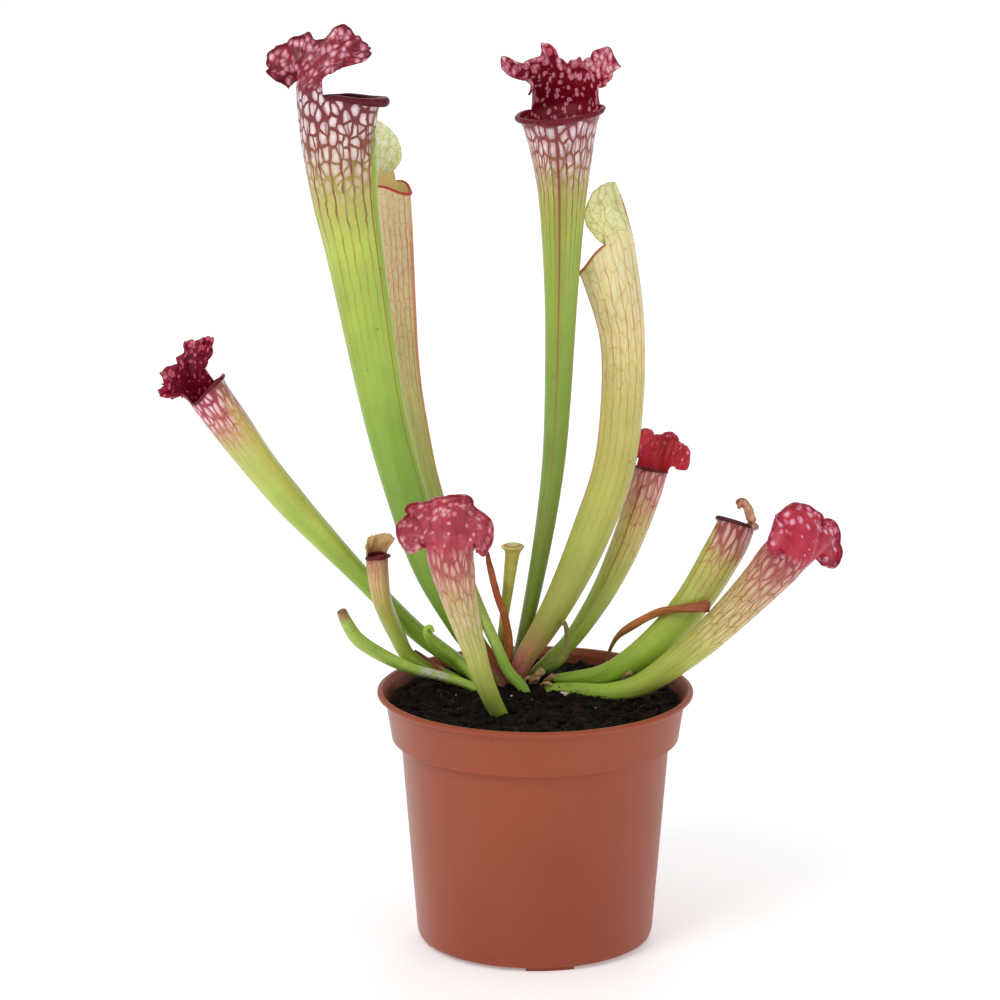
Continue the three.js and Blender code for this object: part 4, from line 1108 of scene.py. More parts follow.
LOOKS = {
    "tall_left_pitcher": dict(
        tube=[(0.0, (104, 20, 36)), (0.15, (124, 32, 42)), (0.22, (168, 84, 56)), (0.29, (126, 154, 54)),
              (0.4, (124, 160, 54)), (0.6, (136, 170, 60)), (0.74, (184, 198, 84)), (0.83, (180, 176, 88)),
              (0.9, (140, 90, 54)), (0.96, (118, 44, 50)), (1.0, (104, 28, 44))],
        cell=(0.3, 0.5), line=0.09, net=(104, 30, 40), net_from=(0.87, 0.94), net_strength=0.55,
        pane=(232, 214, 218), pane_low=(214, 206, 166), pane_rim=(196, 146, 152), pane_size=(0.56, 0.46),
        panes_from=(0.8, 0.9), pane_strength=0.95, ragged=0.06,
        vein=(122, 34, 46), vein_low=(146, 84, 40), vein_gap=0.42, vein_line=0.15, vein_strength=0.9,
        veins_from=(0.6, 0.86), keel_colour=(150, 178, 56), keel_strength=0.9, keel_width=0.045,
        keel_top=0.1, seam=0.045, seam_strength=0.8,
        hood=(124, 22, 42), hood_light=(152, 42, 58), hood_line_colour=(84, 10, 28), hood_net=0.5,
        spot_colour=(246, 206, 216), spot_rim=(196, 104, 122), spot_scale=370.0, spot_size=(0.38, 0.5),
        spots_from=(-0.2, 0.4), lip=(84, 16, 30), inside_to=0.2),
    "tall_middle_pitcher": dict(
        tube=[(0.0, (110, 112, 50)), (0.1, (118, 136, 52)), (0.35, (124, 140, 56)), (0.55, (134, 160, 56)),
              (0.72, (160, 180, 70)), (0.82, (176, 168, 84)), (0.9, (156, 98, 72)), (1.0, (140, 50, 66))],
        cell=(0.32, 0.56), line=0.09, net=(112, 30, 44), net_from=(0.85, 0.93), net_strength=0.6,
        pane=(232, 210, 216), pane_low=(210, 200, 160), pane_rim=(188, 132, 142), pane_size=(0.64, 0.52),
        panes_from=(0.78, 0.88), pane_strength=0.95, ragged=0.06,
        vein=(124, 38, 44), vein_low=(142, 78, 38), vein_gap=0.36, vein_line=0.15, vein_strength=0.95,
        veins_from=(0.56, 0.85), keel_colour=(140, 120, 56), keel_strength=0.4, keel_width=0.04,
        seam=0.003, seam_strength=0.9,
        hood=(124, 12, 34), hood_light=(146, 22, 48), hood_line_colour=(84, 6, 22), hood_net=0.5,
        hood_veins=0.3, spot_colour=(250, 214, 222), spot_rim=(206, 90, 112), spot_scale=440.0,
        spot_size=(0.38, 0.72), spots_from=(0.2, 0.65), spot_strength=0.95, lip=(104, 12, 26),
        inside=(138, 10, 32), inside_spots=0.9, inside_spot=(244, 160, 180), inside_to=0.25,
        # the near-black throat is painted shade deep in the tube
        inside_lines=0.4, throat=(60, 4, 16)),
    "tall_right_pitcher": dict(
        tube=[(0.0, (204, 96, 112)), (0.17, (206, 106, 112)), (0.24, (202, 142, 102)),
              (0.33, (178, 178, 86)), (0.45, (182, 190, 88)), (0.68, (208, 198, 112)),
              (0.82, (222, 202, 138)), (1.0, (230, 216, 162))],
        patch=(186, 190, 90), deep=(150, 150, 70), soiled=0.6,
        cell=(0.26, 0.7), line=0.06, net=(186, 152, 90), net_from=(0.55, 0.8), net_strength=0.4,
        pane=(238, 228, 192), pane_low=(230, 220, 176), pane_rim=(228, 214, 164), panes_from=(0.6, 0.9),
        pane_strength=0.4,
        vein=(190, 92, 56), vein_low=(186, 128, 80), vein_gap=0.42, vein_line=0.1, vein_strength=0.7,
        veins_from=(0.1, 0.9), keel_colour=(196, 122, 66), keel_strength=0.6, keel_width=0.03, seam=0.02,
        ridge=0.9, ridge_at=0.45,
        hood=(222, 220, 150), hood_light=(230, 226, 164), hood_line=0.05, hood_line_colour=(170, 150, 78),
        hood_net=0.45, hood_veins=0.45, edge=(190, 96, 50), edge_strength=0.25, lip=(178, 96, 54),
        spot_colour=(238, 234, 186), spot_rim=(232, 226, 170), spot_scale=380.0, spot_size=(0.6, 0.66),
        spots_from=(-0.5, 0.0), spot_strength=0.6,
        inside=(216, 206, 140), inside_spots=0.1, inside_spot=(226, 218, 164), inside_lines=0.1,
        inside_to=-0.6, throat=(206, 190, 120), glow=0.3, glow_reach=(0.8, 0.7, 0.4)),
    "back_left_pitcher": dict(
        tube=[(0.0, (146, 180, 60)), (0.25, (150, 184, 66)), (0.5, (204, 206, 118)), (0.68, (228, 208, 146)),
              (0.85, (236, 204, 156)), (1.0, (238, 218, 168))],
        cell=(0.2, 0.5), line=0.08, net=(204, 112, 84), net_from=(0.5, 0.8), net_strength=0.35,
        pane=(238, 222, 184), pane_low=(230, 212, 164), pane_rim=(226, 196, 152), pane_strength=0.4,
        vein=(204, 90, 70), vein_low=(202, 104, 84), vein_gap=0.22, vein_line=0.14, vein_strength=0.6,
        veins_from=(0.3, 0.8), keel_colour=(198, 84, 50), keel_strength=0.6, keel_width=0.03,
        hood=(232, 230, 180), hood_light=(222, 228, 176), hood_line=0.07, hood_line_colour=(170, 192, 110),
        hood_net=0.45, hood_veins=0.3, edge=(206, 206, 150), edge_strength=0.4, lip=(186, 44, 40),
        spot_colour=(250, 250, 232), spot_rim=(238, 240, 208), spot_scale=420.0, spot_size=(0.56, 0.62),
        spots_from=(-0.5, 0.0),
        inside=(244, 220, 168), inside_spots=0.1, inside_spot=(234, 226, 180), inside_lines=0.1,
        inside_to=-0.6, throat=(244, 218, 164), glow=0.4, glow_reach=(0.8, 0.7, 0.45)),
    "leaning_left_pitcher": dict(
        tube=[(0.0, (150, 130, 64)), (0.06, (142, 172, 58)), (0.4, (150, 182, 62)), (0.62, (184, 200, 88)),
              (0.78, (200, 200, 110)), (0.87, (196, 136, 112)), (0.94, (172, 70, 88)), (1.0, (156, 46, 72))],
        cell=(0.2, 0.5), net=(150, 40, 66), net_from=(0.76, 0.92), net_strength=0.65,
        pane=(240, 206, 214), pane_low=(226, 186, 170), pane_size=(0.46, 0.36), panes_from=(0.76, 0.9),
        pane_strength=0.9,
        vein=(140, 44, 56), vein_low=(172, 110, 70), vein_strength=0.6, veins_from=(0.66, 0.86),
        keel_colour=(200, 184, 84), keel_strength=0.5, keel_width=0.06, seam_strength=0.2,
        hood=(126, 12, 38), hood_light=(156, 26, 54), lip=(100, 14, 34),
        spot_colour=(240, 160, 178), spot_rim=(176, 54, 80), spot_scale=520.0, spot_size=(0.22, 0.46),
        spots_from=(0.0, 0.9), gloss=0.26,
        inside=(122, 12, 36), inside_spots=0.8, inside_spot=(220, 100, 128), inside_to=0.6,
        inside_lines=0.15),
    "front_pitcher": dict(
        tube=[(0.0, (150, 184, 60)), (0.25, (176, 202, 76)), (0.5, (206, 210, 110)), (0.7, (210, 200, 128)),
              (0.84, (190, 148, 104)), (0.94, (170, 96, 82)), (1.0, (162, 66, 72))],
        cell=(0.23, 0.85), line=0.09, net=(160, 64, 66), net_from=(0.55, 0.85), net_strength=0.55,
        pane=(226, 186, 166), pane_low=(226, 216, 170), pane_rim=(190, 110, 112), panes_from=(0.5, 0.75),
        pane_strength=0.6,
        vein=(140, 40, 50), vein_low=(176, 92, 70), vein_gap=0.3, vein_line=0.13, vein_strength=0.55,
        veins_from=(0.3, 0.66),
        hood=(160, 50, 64), hood_light=(188, 66, 84), hood_veins=0.3, edge=(130, 26, 48),
        edge_strength=0.5, lip=(120, 26, 40),
        spot_colour=(240, 190, 196), spot_rim=(206, 110, 122), spot_scale=360.0, spot_size=(0.24, 0.5),
        spots_from=(0.1, 0.7)),
    "back_right_pitcher": dict(
        tube=[(0.0, (150, 172, 66)), (0.35, (166, 190, 74)), (0.6, (190, 196, 92)), (0.78, (208, 192, 118)),
              (0.88, (204, 150, 116)), (1.0, (172, 80, 80))],
        cell=(0.2, 0.8), line=0.09, net=(160, 60, 70), net_from=(0.6, 0.85), net_strength=0.5,
        pane=(230, 176, 178), pane_low=(228, 200, 164), panes_from=(0.8, 0.92),
        vein_low=(186, 124, 76), vein_strength=0.6, veins_from=(0.4, 0.75), keel_strength=0.0, seam=0.003,
        hood=(196, 44, 66), hood_light=(216, 70, 90), hood_line_colour=(124, 14, 36), hood_net=0.4,
        hood_veins=0.5, edge=(130, 14, 36), lip=(84, 14, 26),
        spot_scale=520.0, spot_size=(0.16, 0.42), spots_from=(0.3, 1.0),
        inside=(226, 56, 84), inside_spots=0.5, inside_spot=(232, 130, 150), inside_lines=0.15,
        # the near-black throat is painted shade deep in the tube
        inside_to=0.05, throat=(70, 8, 22), glow=0.15),
    "right_pitcher": dict(
        tube=[(0.0, (150, 180, 60)), (0.4, (156, 188, 64)), (0.6, (178, 194, 80)), (0.76, (200, 192, 106)),
              (0.85, (186, 138, 100)), (0.93, (158, 86, 78)), (1.0, (142, 68, 58))],
        patch=(128, 164, 54), soiled=0.9,
        cell=(0.22, 0.8), net=(150, 56, 60), net_from=(0.66, 0.84), net_strength=0.6,
        pane=(226, 184, 172), panes_from=(0.76, 0.88), pane_strength=0.75,
        vein=(128, 44, 44), vein_low=(164, 90, 60), vein_strength=0.6, veins_from=(0.5, 0.8),
        keel_colour=(168, 168, 72), keel_strength=0.6, keel_width=0.06,
        hood=(196, 134, 108), hood_light=(218, 170, 138), hood_line_colour=(150, 70, 60), hood_net=0.5,
        edge=(120, 66, 50), edge_strength=0.5, lip=(60, 18, 20),
        spot_colour=(196, 140, 96), spot_size=(0.1, 0.2), spots_from=(0.9, 1.4),
        inside=(196, 136, 110), inside_spots=0.1, inside_to=-0.6),
    "low_right_pitcher": dict(
        tube=[(0.0, (156, 184, 62)), (0.3, (162, 194, 66)), (0.5, (192, 204, 92)), (0.7, (204, 194, 118)),
              (0.84, (186, 130, 102)), (1.0, (160, 60, 72))],
        patch=(140, 172, 58), soiled=0.9,
        cell=(0.24, 0.8), net=(150, 44, 56), net_from=(0.5, 0.72), net_strength=0.5,
        pane=(226, 176, 168), pane_low=(216, 208, 150), panes_from=(0.5, 0.75), pane_strength=0.65,
        vein=(146, 36, 50), vein_low=(180, 84, 64), vein_gap=0.3, vein_line=0.15, vein_strength=0.7,
        veins_from=(0.4, 0.7),
        hood=(180, 30, 58), hood_light=(196, 48, 76), hood_veins=0.1, edge=(110, 16, 40),
        edge_strength=0.5, lip=(96, 18, 36),
        spot_colour=(248, 208, 216), spot_rim=(214, 110, 134), spot_scale=370.0, spot_size=(0.14, 0.48),
        spots_from=(0.2, 0.6)),
    "small_left_pitcher": dict(
        tube=[(0.0, (150, 180, 60)), (0.4, (170, 188, 72)), (0.62, (192, 192, 88)), (0.85, (208, 172, 110)),
              (1.0, (184, 112, 86))],
        pane=(216, 176, 140), pane_strength=0.3, vein=(160, 84, 70), vein_low=(180, 124, 84),
        vein_gap=0.14, keel_colour=(196, 184, 92), keel_strength=0.2,
        hood=(190, 146, 98), hood_light=(206, 168, 116), hood_line_colour=(140, 84, 60),
        edge=(140, 92, 56), edge_strength=0.5, lip=(96, 20, 26),
        spot_colour=(216, 186, 136), spot_size=(0.05, 0.1), spots_from=(0.8, 1.4),
        inside=(110, 26, 30), inside_spots=0.2, inside_lines=0.2, inside_to=-0.4),
}
PALE_PITCHERS = ("tall_right_pitcher", "back_left_pitcher")

# Each stalk's colours from foot to tip, the colour of its fine lines, its roughness, relief and crust.
STALK_LOOKS = {
    "cut_green_stalk": (
        [(0.0, (140, 172, 56)), (0.5, (166, 196, 76)), (0.86, (160, 186, 78)), (0.92, (176, 132, 84)),
         (1.0, (124, 80, 50))], (96, 134, 40), 0.4, 0.3, 1.0),
    "hooked_green_bud": (
        [(0.0, (146, 180, 62)), (0.8, (164, 196, 76)), (1.0, (186, 200, 96))], (100, 146, 44), 0.38, 0.3),
    "capped_bud": (
        [(0.0, (160, 172, 70)), (0.6, (196, 192, 88)), (0.9, (206, 188, 100)), (0.96, (150, 96, 50)),
         (1.0, (196, 176, 100))], (120, 120, 50), 0.45, 0.4),
    "dying_bud": (
        [(0.0, (86, 120, 40)), (0.35, (112, 140, 50)), (0.6, (170, 160, 84)), (1.0, (176, 140, 80))],
        (90, 90, 40), 0.5, 0.8),
    "dry_strap_leaf": (
        [(0.0, (170, 120, 66)), (0.3, (206, 128, 62)), (0.7, (190, 92, 48)), (1.0, (120, 50, 40))],
        (120, 52, 36), 0.6, 1.0),
    "withered_pitcher": (
        [(0.0, (176, 140, 80)), (0.3, (190, 128, 64)), (0.5, (196, 116, 54)), (0.75, (170, 92, 52)),
         (1.0, (164, 92, 66))], (112, 54, 34), 0.6, 1.0),
    "dead_leaf_scrap": (
        [(0.0, (196, 104, 54)), (0.5, (150, 78, 44)), (1.0, (84, 44, 30))], (80, 40, 26), 0.65, 1.0),
    "dry_crown_stub": (
        [(0.0, (120, 78, 46)), (0.5, (176, 134, 88)), (1.0, (204, 172, 122))], (96, 60, 38), 0.7, 1.0),
}
GREEN_STALKS = ("cut_green_stalk", "hooked_green_bud", "capped_bud", "dying_bud")

SMOOTHER = ("SUBSURF", dict(levels=1, render_levels=1, uv_smooth="NONE"))
THICKENER = ("SOLIDIFY", dict(thickness=SHEET * MM, offset=0.0, material_offset=1, use_even_offset=False))


def add_pitchers():
    for index, (node, form) in enumerate(PITCHERS.items()):
        leaf = {**FORM, **form}
        sheet = Pitcher(leaf, index * 1.7)
        piece = sheet.build(node + "_leaf", sheet.girth)
        look = {**LOOK, **LOOKS[node], "girth": sheet.girth}
        outer = leaf_material(node + "_outside", look, False)
        inner = leaf_material(node + "_inside", look, True)
        dress(piece, node, "pale_leaf" if node in PALE_PITCHERS else "green_leaf", outer, inner)
        apply_modifiers(piece, THICKENER, SMOOTHER)


def add_stalks():
    for index, (node, form) in enumerate(STALKS.items()):
        piece = make_stalk(node, {**STALK_FORM, **form}, 20 + index * 2.3)
        material = stalk_material(node + "_finish", *STALK_LOOKS[node])
        dress(piece, node, "green_leaf" if node in GREEN_STALKS else "dry_leaf", material)
        apply_modifiers(piece, SMOOTHER)


def add_crown_scraps():
    material = stalk_material("crown_scrap_finish", *STALK_LOOKS["dry_crown_stub"])
    for index, stations in enumerate(SCRAPS):
        leaf = dict(keel=0, flat=0.5, crease=0.8, stations=stations)
        scrap = make_stalk("crown_scrap_%d" % index, leaf, 50 + index)
        dress(scrap, None, "dry_leaf", material)


# ---------------------------------------------------------------- pot

POT_SIDES = 144
BODY_RADII = (45.0, 51.0)  # at the foot and under the collar, mm
BODY_HEIGHTS = (4.0, 79.1)
RIM_STEPS = [  # radius and height, mm, from the top of the body over the rim and down the inside
    (53.8, 79.45), (54.5, 80.0), (57.0, 95.9), (59.0, 96.1), (60.0, 97.0), (59.9, 97.9), (59.1, 98.5),
    (58.1, 98.4), (57.5, 97.6), (55.9, 95.1), (53.4, 81.1), (49.9, 80.2), (43.9, 5.8), (42.4, 3.8),
]
FOOT_STEPS = [(44.2, 1.9), (42.6, 1.0), (39.7, 1.0), (38.5, 2.2), (8.0, 2.2), (7.0, 0.0)]
FOOT_RING = (39.8, 42.5)  # radii between which the feet stand
FOOT_HEIGHT = 1.0
FOOT_MIDDLES = (-83, 7, 97, 187)
FOOT_HALF_ANGLE = 12
HOLES = 6
HOLE_RADIUS = 4.0
HOLE_CIRCLE = 27.0
HOLE_HEIGHT = 3.0
EDGE_ROUND = 0.35
COLLAR_SLOPE = 0.157  # how much wider the collar is for each unit of height
COLLAR_INSIDE = 0.0416  # radius of the collar's inner face less that slope, metres
COLLAR_FOOT = 0.084


def raise_by(millimetres):
    return {"value": (0.0, 0.0, millimetres * MM)}


def step_through(extrude, radius, height, steps):
    """Extrudes the selected cap or ring from one (radius, height) to the next, in millimetres."""
    for next_radius, next_height in steps:
        extrude(TRANSFORM_OT_translate=raise_by(next_height - height))
        scale = next_radius / radius
        bpy.ops.transform.resize(value=(scale, scale, 1.0), center_override=(0.0, 0.0, next_height * MM))
        radius, height = next_radius, next_height


def select_cap(piece, height):
    """Selects the one flat face that lies at a height, in edit mode."""
    grid = bmesh.from_edit_mesh(piece.data)
    for face in grid.faces:
        face.select_set(False)
    for face in grid.faces:
        if len(face.verts) > 8 and all(abs(v.co.z - height * MM) < 1e-5 for v in face.verts):
            face.select_set(True)
    bmesh.update_edit_mesh(piece.data)


def add_pot():
    deselect()
    low, high = BODY_HEIGHTS
    bpy.ops.mesh.primitive_cone_add(
        vertices=POT_SIDES, radius1=BODY_RADII[0] * MM, radius2=BODY_RADII[1] * MM, depth=(high - low) * MM,
        location=(0.0, 0.0, (low + high) / 2 * MM))
    pot = bpy.context.object
    pot.name = pot.data.name = "plastic_pot"
    bpy.ops.object.transform_apply(location=True)
    bpy.ops.object.mode_set(mode="EDIT")
    bpy.ops.mesh.select_mode(type="FACE")
    for radius, height, steps in ((BODY_RADII[1], high, RIM_STEPS), (BODY_RADII[0], low, FOOT_STEPS)):
        select_cap(pot, height)
        step_through(bpy.ops.mesh.extrude_region_move, radius, height, steps)
    add_feet(pot)
    bpy.ops.object.mode_set(mode="OBJECT")
    holes = drain_holes()
    apply_modifiers(
        pot,
        ("BOOLEAN", dict(operation="DIFFERENCE", solver="EXACT", object=holes)),
        ("BEVEL", dict(width=EDGE_ROUND * MM, segments=2, limit_method="ANGLE",
                       angle_limit=math.radians(28))),
    )
    bpy.data.objects.remove(holes)
    bpy.ops.object.shade_smooth_by_angle(angle=math.radians(40))
    dress(pot, "pot", "terracotta_plastic", pot_material())


def add_feet(pot):
    """Four low feet: the base ring's underside, pushed down over four short arcs."""
    grid = bmesh.from_edit_mesh(pot.data)
    for face in grid.faces:
        middle = face.calc_center_median() / MM
        on_ring = (FOOT_RING[0] < math.hypot(middle.x, middle.y) < FOOT_RING[1]
                   and abs(middle.z - FOOT_HEIGHT) < 0.05)
        turn = math.degrees(math.atan2(middle.y, middle.x))
        near = any(abs((turn - m + 180) % 360 - 180) < FOOT_HALF_ANGLE for m in FOOT_MIDDLES)
        face.select_set(on_ring and near)
    bmesh.update_edit_mesh(pot.data)
    bpy.ops.mesh.extrude_region_move(TRANSFORM_OT_translate=raise_by(-FOOT_HEIGHT))


def drain_holes():
    deselect()
    drills = []
    for i in range(HOLES):
        turn = TURN * i / HOLES
        x, y = HOLE_CIRCLE * math.cos(turn), HOLE_CIRCLE * math.sin(turn)
        bpy.ops.mesh.primitive_cylinder_add(
            vertices=40, radius=HOLE_RADIUS * MM, depth=2 * HOLE_RADIUS * MM,
            location=(x * MM, y * MM, HOLE_HEIGHT * MM))
        drills.append(bpy.context.object)
    for drill in drills:
        drill.select_set(True)
    bpy.ops.object.join()
    bpy.ops.object.transform_apply(location=True, rotation=True, scale=True)
    return bpy.context.object


def pot_material():
    material, n, shader = new_material("terracotta_plastic", Specular_IOR_Level=0.24)
    place = n.place()
    x, y, z = n.split(place)
    colour = n.mix(n.ramp(n.noise(place, 9.0, 4.0), 0.35, 0.65), shade(154, 74, 48), shade(145, 68, 44))
    specks = n.times(n.fade(n.voronoi(place, 130.0), 0.05, 0.1),
                     n.ramp(n.noise(place, 23.0, 2.0), 0.6, 0.66), 0.5)
    colour = n.mix(specks, colour, shade(110, 44, 32))
    scratch = n.noise(n.stretch(place, (260.0, 260.0, 14.0)), 1.0)
    scuffs = n.times(n.ramp(scratch, 0.7, 0.76), n.ramp(n.noise(place, 16.0, 2.0), 0.55, 0.65))
    colour = n.mix(n.times(scuffs, 0.4), colour, shade(205, 160, 140))
    # the inside of the collar, which slopes as its outside does, is darker from just below the soil up, in
    # patches
    within = n.minus(n.from_axis(x, y), n.times(z, COLLAR_SLOPE))
    collar_inside_darkening = n.times(n.fade(within, COLLAR_INSIDE - 0.0004, COLLAR_INSIDE),
                    n.ramp(z, COLLAR_FOOT - 0.002, COLLAR_FOOT),
                    n.ramp(n.noise(place, 70.0, 4.0), 0.35, 0.65, 0.3, 0.8))
    grain = n.noise(place, 1500.0, 2.0)
    flow = n.noise(n.stretch(place, (30.0, 30.0, 4.0)), 1.0)
    height = n.plus(n.times(grain, 0.12), n.times(flow, 0.6))
    n.feed(
        shader,
        Base_Color=n.mix(collar_inside_darkening, colour, shade(84, 38, 26)),
        Roughness=n.plus(n.ramp(flow, 0.3, 0.7, 0.32, 0.42), n.times(scuffs, 0.2)),
        Normal=n.bump(height, 0.12, 0.0006))
    return material


# ---------------------------------------------------------------- soil

CROWN = (-6.0, 17.0)
SOIL_LEVEL = 92.6
MOUND_HEIGHT = 2.2
MOUND_REACH = 55
WAVE_HEIGHT = 0.55
SOIL_RADIUS = 54.9
SOIL_START = 92.0  # height of the flat disc that the surface is raised from
SOIL_SIDES = 220
SOIL_RINGS = 74
SOIL_RING_WIDTH = 0.735
SOIL_SIDE_STEPS = [(53.0, 81.5), (49.5, 80.6), (43.5, 6.0), (42.0, 4.1)]
CRUMBS = 1900
FOOT_CRUMBS = 26  # round the foot of each leaf
FOOT_SEARCH = 60  # steps along a leaf, in whose first half its foot is looked for
CRUMB_REACH = 54.0  # how far out from the middle crumbs lie
FIBRE_REACH = 50.0
FIBRE_LIMIT = 53.0  # no fibre goes on past this
FIBRES = 150
FIBRE_STEPS = 9
PERLITE_GRAINS = [(11.0, 6.0, 0.5, (1.9, 1.3, 1.0)), (39.5, 30.0, 0.4, (1.2, 1.0, 0.8))]
PERLITE_FLECKS = 10


def soil_height(x, y):
    """The soil's plain height, as in the solid: a low mound at the crown, and shallow waves."""
    reach = math.hypot(x - CROWN[0], y - CROWN[1]) / MOUND_REACH
    mound = MOUND_HEIGHT * math.exp(-2.2 * reach * reach)
    waves = (math.sin(0.62 * x + 1.3 * math.sin(0.31 * y)) * math.cos(0.55 * y + 0.8)
             + 0.6 * math.sin(1.17 * x - 0.9 * y + 2))
    return SOIL_LEVEL + mound + WAVE_HEIGHT * waves / 1.6


def soil_surface(x, y):
    """The soil's height with its crumbs: lumps on lumps."""
    big = waver(x / 7.0, y / 7.0, 2.0)
    middle = waver(x / 3.0, y / 3.0, 5.0)
    small = waver(x / 1.3, y / 1.3, 8.0)
    return soil_height(x, y) + 0.9 * big + 0.7 * middle + 0.45 * small


def add_soil():
    deselect()
    bpy.ops.mesh.primitive_circle_add(vertices=SOIL_SIDES, radius=SOIL_RADIUS * MM, fill_type="NOTHING",
                                      location=(0.0, 0.0, SOIL_START * MM))
    soil = bpy.context.object
    soil.name = soil.data.name = "peat"
    bpy.ops.object.transform_apply(location=True)
    bpy.ops.object.mode_set(mode="EDIT")
    bpy.ops.mesh.select_all(action="SELECT")
    rings = [(SOIL_RADIUS - SOIL_RING_WIDTH * (ring + 1), SOIL_START) for ring in range(SOIL_RINGS)]
    step_through(bpy.ops.mesh.extrude_edges_move, SOIL_RADIUS, SOIL_START, rings)
    bpy.ops.mesh.fill()
    grid = bmesh.from_edit_mesh(soil.data)
    for edge in grid.edges:
        edge.select_set(edge.is_boundary)
    bmesh.update_edit_mesh(soil.data)
    step_through(bpy.ops.mesh.extrude_edges_move, SOIL_RADIUS, SOIL_START, SOIL_SIDE_STEPS)
    bpy.ops.mesh.edge_face_add()
    bpy.ops.mesh.select_all(action="SELECT")
    bpy.ops.mesh.normals_make_consistent(inside=False)
    bpy.ops.object.mode_set(mode="OBJECT")
    for vertex in soil.data.vertices:
        if vertex.co.z > (SOIL_START - 0.5) * MM:
            vertex.co.z = soil_surface(vertex.co.x / MM, vertex.co.y / MM) * MM
    smooth(soil)
    peat = peat_material()
    dress(soil, "soil", "peat", peat)
    scatter_crumbs(peat)
    scatter_fibres()
    scatter_perlite()


def peat_material():
    material, n, shader = new_material("peat_finish", Specular_IOR_Level=0.12)
    place = n.place()
    grain = n.noise(place, 700.0, 6.0, 0.7)
    stops = [(0.3, (12, 9, 8)), (0.5, (26, 18, 15)), (0.68, (26, 18, 15)), (0.8, (58, 38, 28))]
    reddish = n.ramp(n.noise(place, 160.0, 4.0), 0.54, 0.66, 0.0, 0.75)
    height = n.plus(n.times(n.voronoi(place, 420.0), -0.5), grain)
    n.feed(
        shader,
        Base_Color=n.mix(reddish, n.colours(grain, stops), shade(60, 36, 26)),
        Roughness=n.ramp(grain, 0.3, 0.7, 0.75, 0.98),
        Normal=n.bump(height, 1.0, 0.0016))
    return material


def in_pot(rng, limit=CRUMB_REACH):
    """A random place on the soil."""
    radius = limit * math.sqrt(rng.random())
    turn = TURN * rng.random()
    return radius * math.cos(turn), radius * math.sin(turn)


def random_turn(rng):
    return Euler([rng.uniform(0, TURN) for _ in range(3)])


def copies_of(source, places, name):
    """Joins turned, sized copies of a small piece into one: places are (x, y, z, size, turns)."""
    points = np.array([v.co[:] for v in source.data.vertices])
    faces = np.array([tuple(p.vertices) for p in source.data.polygons])
    all_points, all_faces = [], []
    for index, (x, y, z, size, turns) in enumerate(places):
        turned = points @ np.array(turns.to_matrix()).T * np.array(size)
        all_points.append(turned * MM + np.array((x, y, z)) * MM)
        all_faces.append(faces + index * len(points))
    bpy.data.objects.remove(source)
    return new_piece(name, np.concatenate(all_points).tolist(), np.concatenate(all_faces).tolist())


def rough_ball(subdivisions, roughness, seed):
    """A small lumpy ball of radius 1."""
    ball = new_ball(subdivisions)
    for vertex in ball.data.vertices:
        vertex.co *= 1 + roughness * noise.noise(vertex.co * 1.7 + Vector((seed, 0, 0)))
    return ball


def leaf_feet():
    """Where each leaf comes out of the soil: (x, y, radius)."""
    feet = []
    for leaf in (*PITCHERS.values(), *STALKS.values()):
        for step in range(FOOT_SEARCH // 2 + 1):
            x, y, z, radius = curve_through(leaf["stations"], step / FOOT_SEARCH)
            if z > soil_height(x, y):
                feet.append((x, y, radius))
                break
    return feet


def crumb(rng, x, y, size, sunk):
    """Place and size of a crumb, flattened a little and turned at random."""
    squash = (size, size * rng.uniform(0.6, 1.0), size * rng.uniform(0.5, 0.9))
    return x, y, soil_surface(x, y) + sunk * size, squash, random_turn(rng)


def scatter_crumbs(finish):
    """Loose crumbs all over the soil, and more of them heaped round each leaf."""
    rng = random.Random(7)
    places = []
    for _ in range(CRUMBS):
        x, y = in_pot(rng)
        places.append(crumb(rng, x, y, 0.35 + 2.0 * rng.random() ** 5, 0.15))
    for x, y, radius in leaf_feet():
        for _ in range(FOOT_CRUMBS):
            turn = rng.uniform(0, TURN)
            away = radius + rng.uniform(-0.2, 1.6)
            at_x, at_y = x + away * math.cos(turn), y + away * math.sin(turn)
            places.append(crumb(rng, at_x, at_y, rng.uniform(0.4, 1.0), 0.2))
    crumbs = copies_of(rough_ball(1, 0.7, 3.0), places, "peat_crumbs")
    dress(crumbs, None, "peat", finish)


def fibre(rng, length, width, lift):
    """Points and widths of a thin curling fibre lying on the soil."""
    x, y = in_pot(rng, FIBRE_REACH)
    turn = rng.uniform(0, TURN)
    bend = rng.uniform(-0.25, 0.25)
    points = []
    for step in range(FIBRE_STEPS):
        t = step / (FIBRE_STEPS - 1)
        height = soil_surface(x, y) + 0.35 + lift * math.sin(math.pi * t)
        points.append((x, y, height, width * (1 - 0.6 * t)))
        x += length / FIBRE_STEPS * math.cos(turn)
        y += length / FIBRE_STEPS * math.sin(turn)
        turn += bend
        if math.hypot(x, y) > FIBRE_LIMIT:
            break
    return points


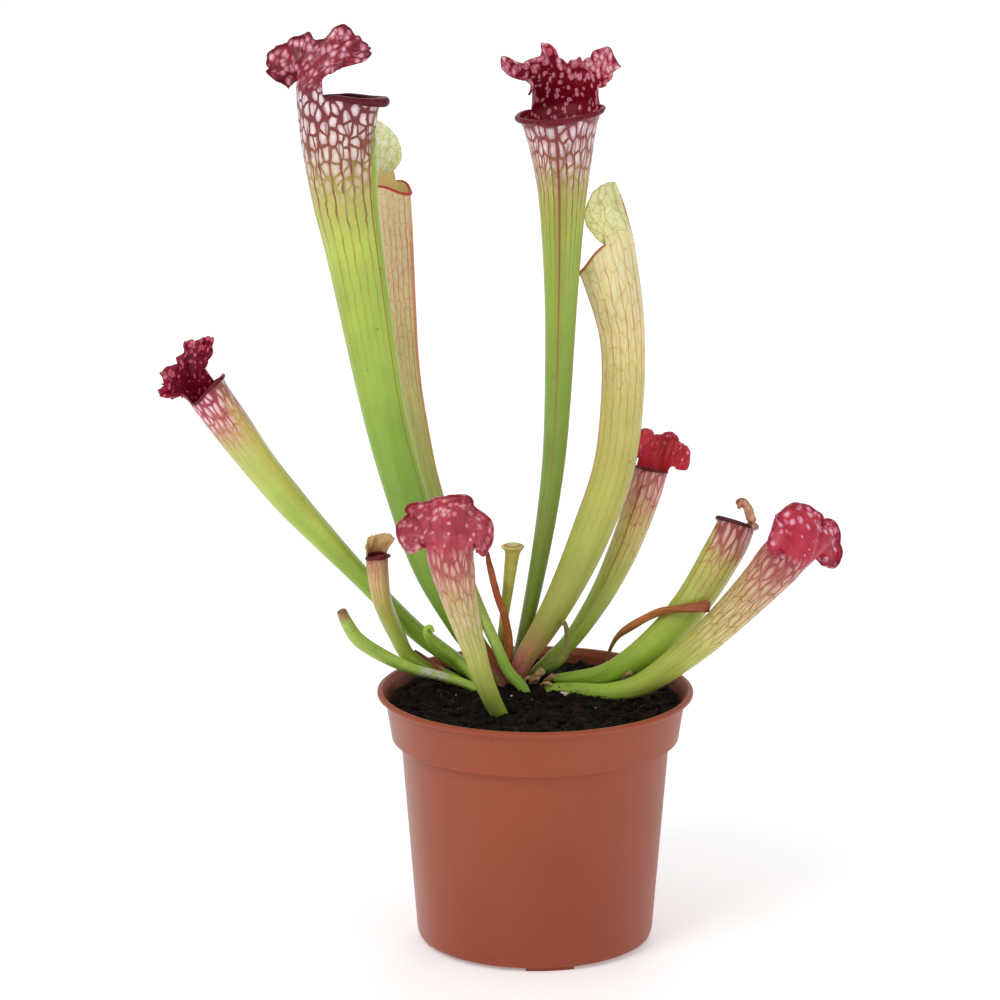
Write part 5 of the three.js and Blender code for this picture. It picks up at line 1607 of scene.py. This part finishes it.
def scatter_fibres():
    rng = random.Random(19)
    curve = bpy.data.curves.new("peat_fibres", "CURVE")
    curve.dimensions = "3D"
    curve.bevel_depth = MM
    curve.bevel_resolution = 1
    for _ in range(FIBRES):
        points = fibre(rng, rng.uniform(3, 13), rng.uniform(0.08, 0.2), rng.uniform(0.2, 1.4))
        if len(points) < 4:
            continue
        spline = curve.splines.new("POLY")
        spline.points.add(len(points) - 1)
        for target, (x, y, z, width) in zip(spline.points, points):
            target.co = (x * MM, y * MM, z * MM, 1.0)
            target.radius = width
    pick(new_object("peat_fibres", curve))
    bpy.ops.object.convert(target="MESH")
    material, n, shader = new_material("fibre_finish", Roughness=0.8, Specular_IOR_Level=0.3)
    place = n.place()
    stops = [(0.35, (30, 21, 16)), (0.55, (62, 42, 28)), (0.7, (112, 84, 56))]
    n.feed(shader, Base_Color=n.colours(n.noise(place, 45.0), stops),
           Normal=n.bump(n.noise(place, 2500.0, 2.0), 0.5, 0.0003))
    dress(bpy.context.object, None, "peat", material)


def scatter_perlite():
    """A few white crumbs of perlite, and pale flecks."""
    rng = random.Random(5)
    places = [(x, y, soil_surface(x, y) + raised, size, random_turn(rng))
              for x, y, raised, size in PERLITE_GRAINS]
    for _ in range(PERLITE_FLECKS):
        x, y = in_pot(rng)
        size = 0.2 + 0.4 * rng.random() ** 4
        places.append((x, y, soil_surface(x, y) + 0.35, (size, size * 0.8, size * 0.7), random_turn(rng)))
    grains = copies_of(rough_ball(2, 0.5, 9.0), places, "perlite_grains")
    material, n, shader = new_material("perlite_finish", Roughness=0.9)
    place = n.place()
    colour = n.mix(n.ramp(n.noise(place, 300.0), 0.4, 0.7), shade(214, 196, 168), shade(236, 230, 220))
    n.feed(shader, Base_Color=colour, Normal=n.bump(n.voronoi(place, 1500.0), 0.6, 0.0004))
    dress(grains, None, "peat", material)


# ---------------------------------------------------------------- rhizome

RHIZOME_MIDDLE = (-9.0, 18.0, 88.6)
RHIZOME_RADII = (22.6, 13.2, 6.6)
RHIZOME_TURN = -0.16


def add_rhizome():
    """The knobbly stem that the leaves grow from, just level with the soil."""
    stem = new_ball(5)
    stem.name = stem.data.name = "rhizome_stem"
    turned = Euler((0.0, 0.0, RHIZOME_TURN)).to_matrix()
    for vertex in stem.data.vertices:
        lumps = 1 + 0.07 * noise.noise(vertex.co * 3.1) + 0.05 * noise.noise(vertex.co * 7.3)
        sized = Vector([part * radius * lumps for part, radius in zip(vertex.co, RHIZOME_RADII)])
        vertex.co = (turned @ sized + Vector(RHIZOME_MIDDLE)) * MM
    smooth(stem)
    material, n, shader = new_material("rhizome_finish", Roughness=0.75)
    place = n.place()
    scales = n.voronoi(place, 260.0)
    colour = n.mix(n.ramp(scales, 0.2, 0.7), shade(92, 60, 40), shade(44, 28, 22))
    colour = n.mix(n.ramp(n.noise(place, 120.0, 4.0), 0.5, 0.7, 0.0, 0.5), colour, shade(120, 34, 40))
    n.feed(shader, Base_Color=colour, Normal=n.bump(scales, 0.8, 0.001))
    dress(stem, "rhizome", "rhizome_bark", material)


add_camera()
add_studio()
add_floor()
add_pot()
add_soil()
add_rhizome()
add_pitchers()
add_stalks()
add_crown_scraps()
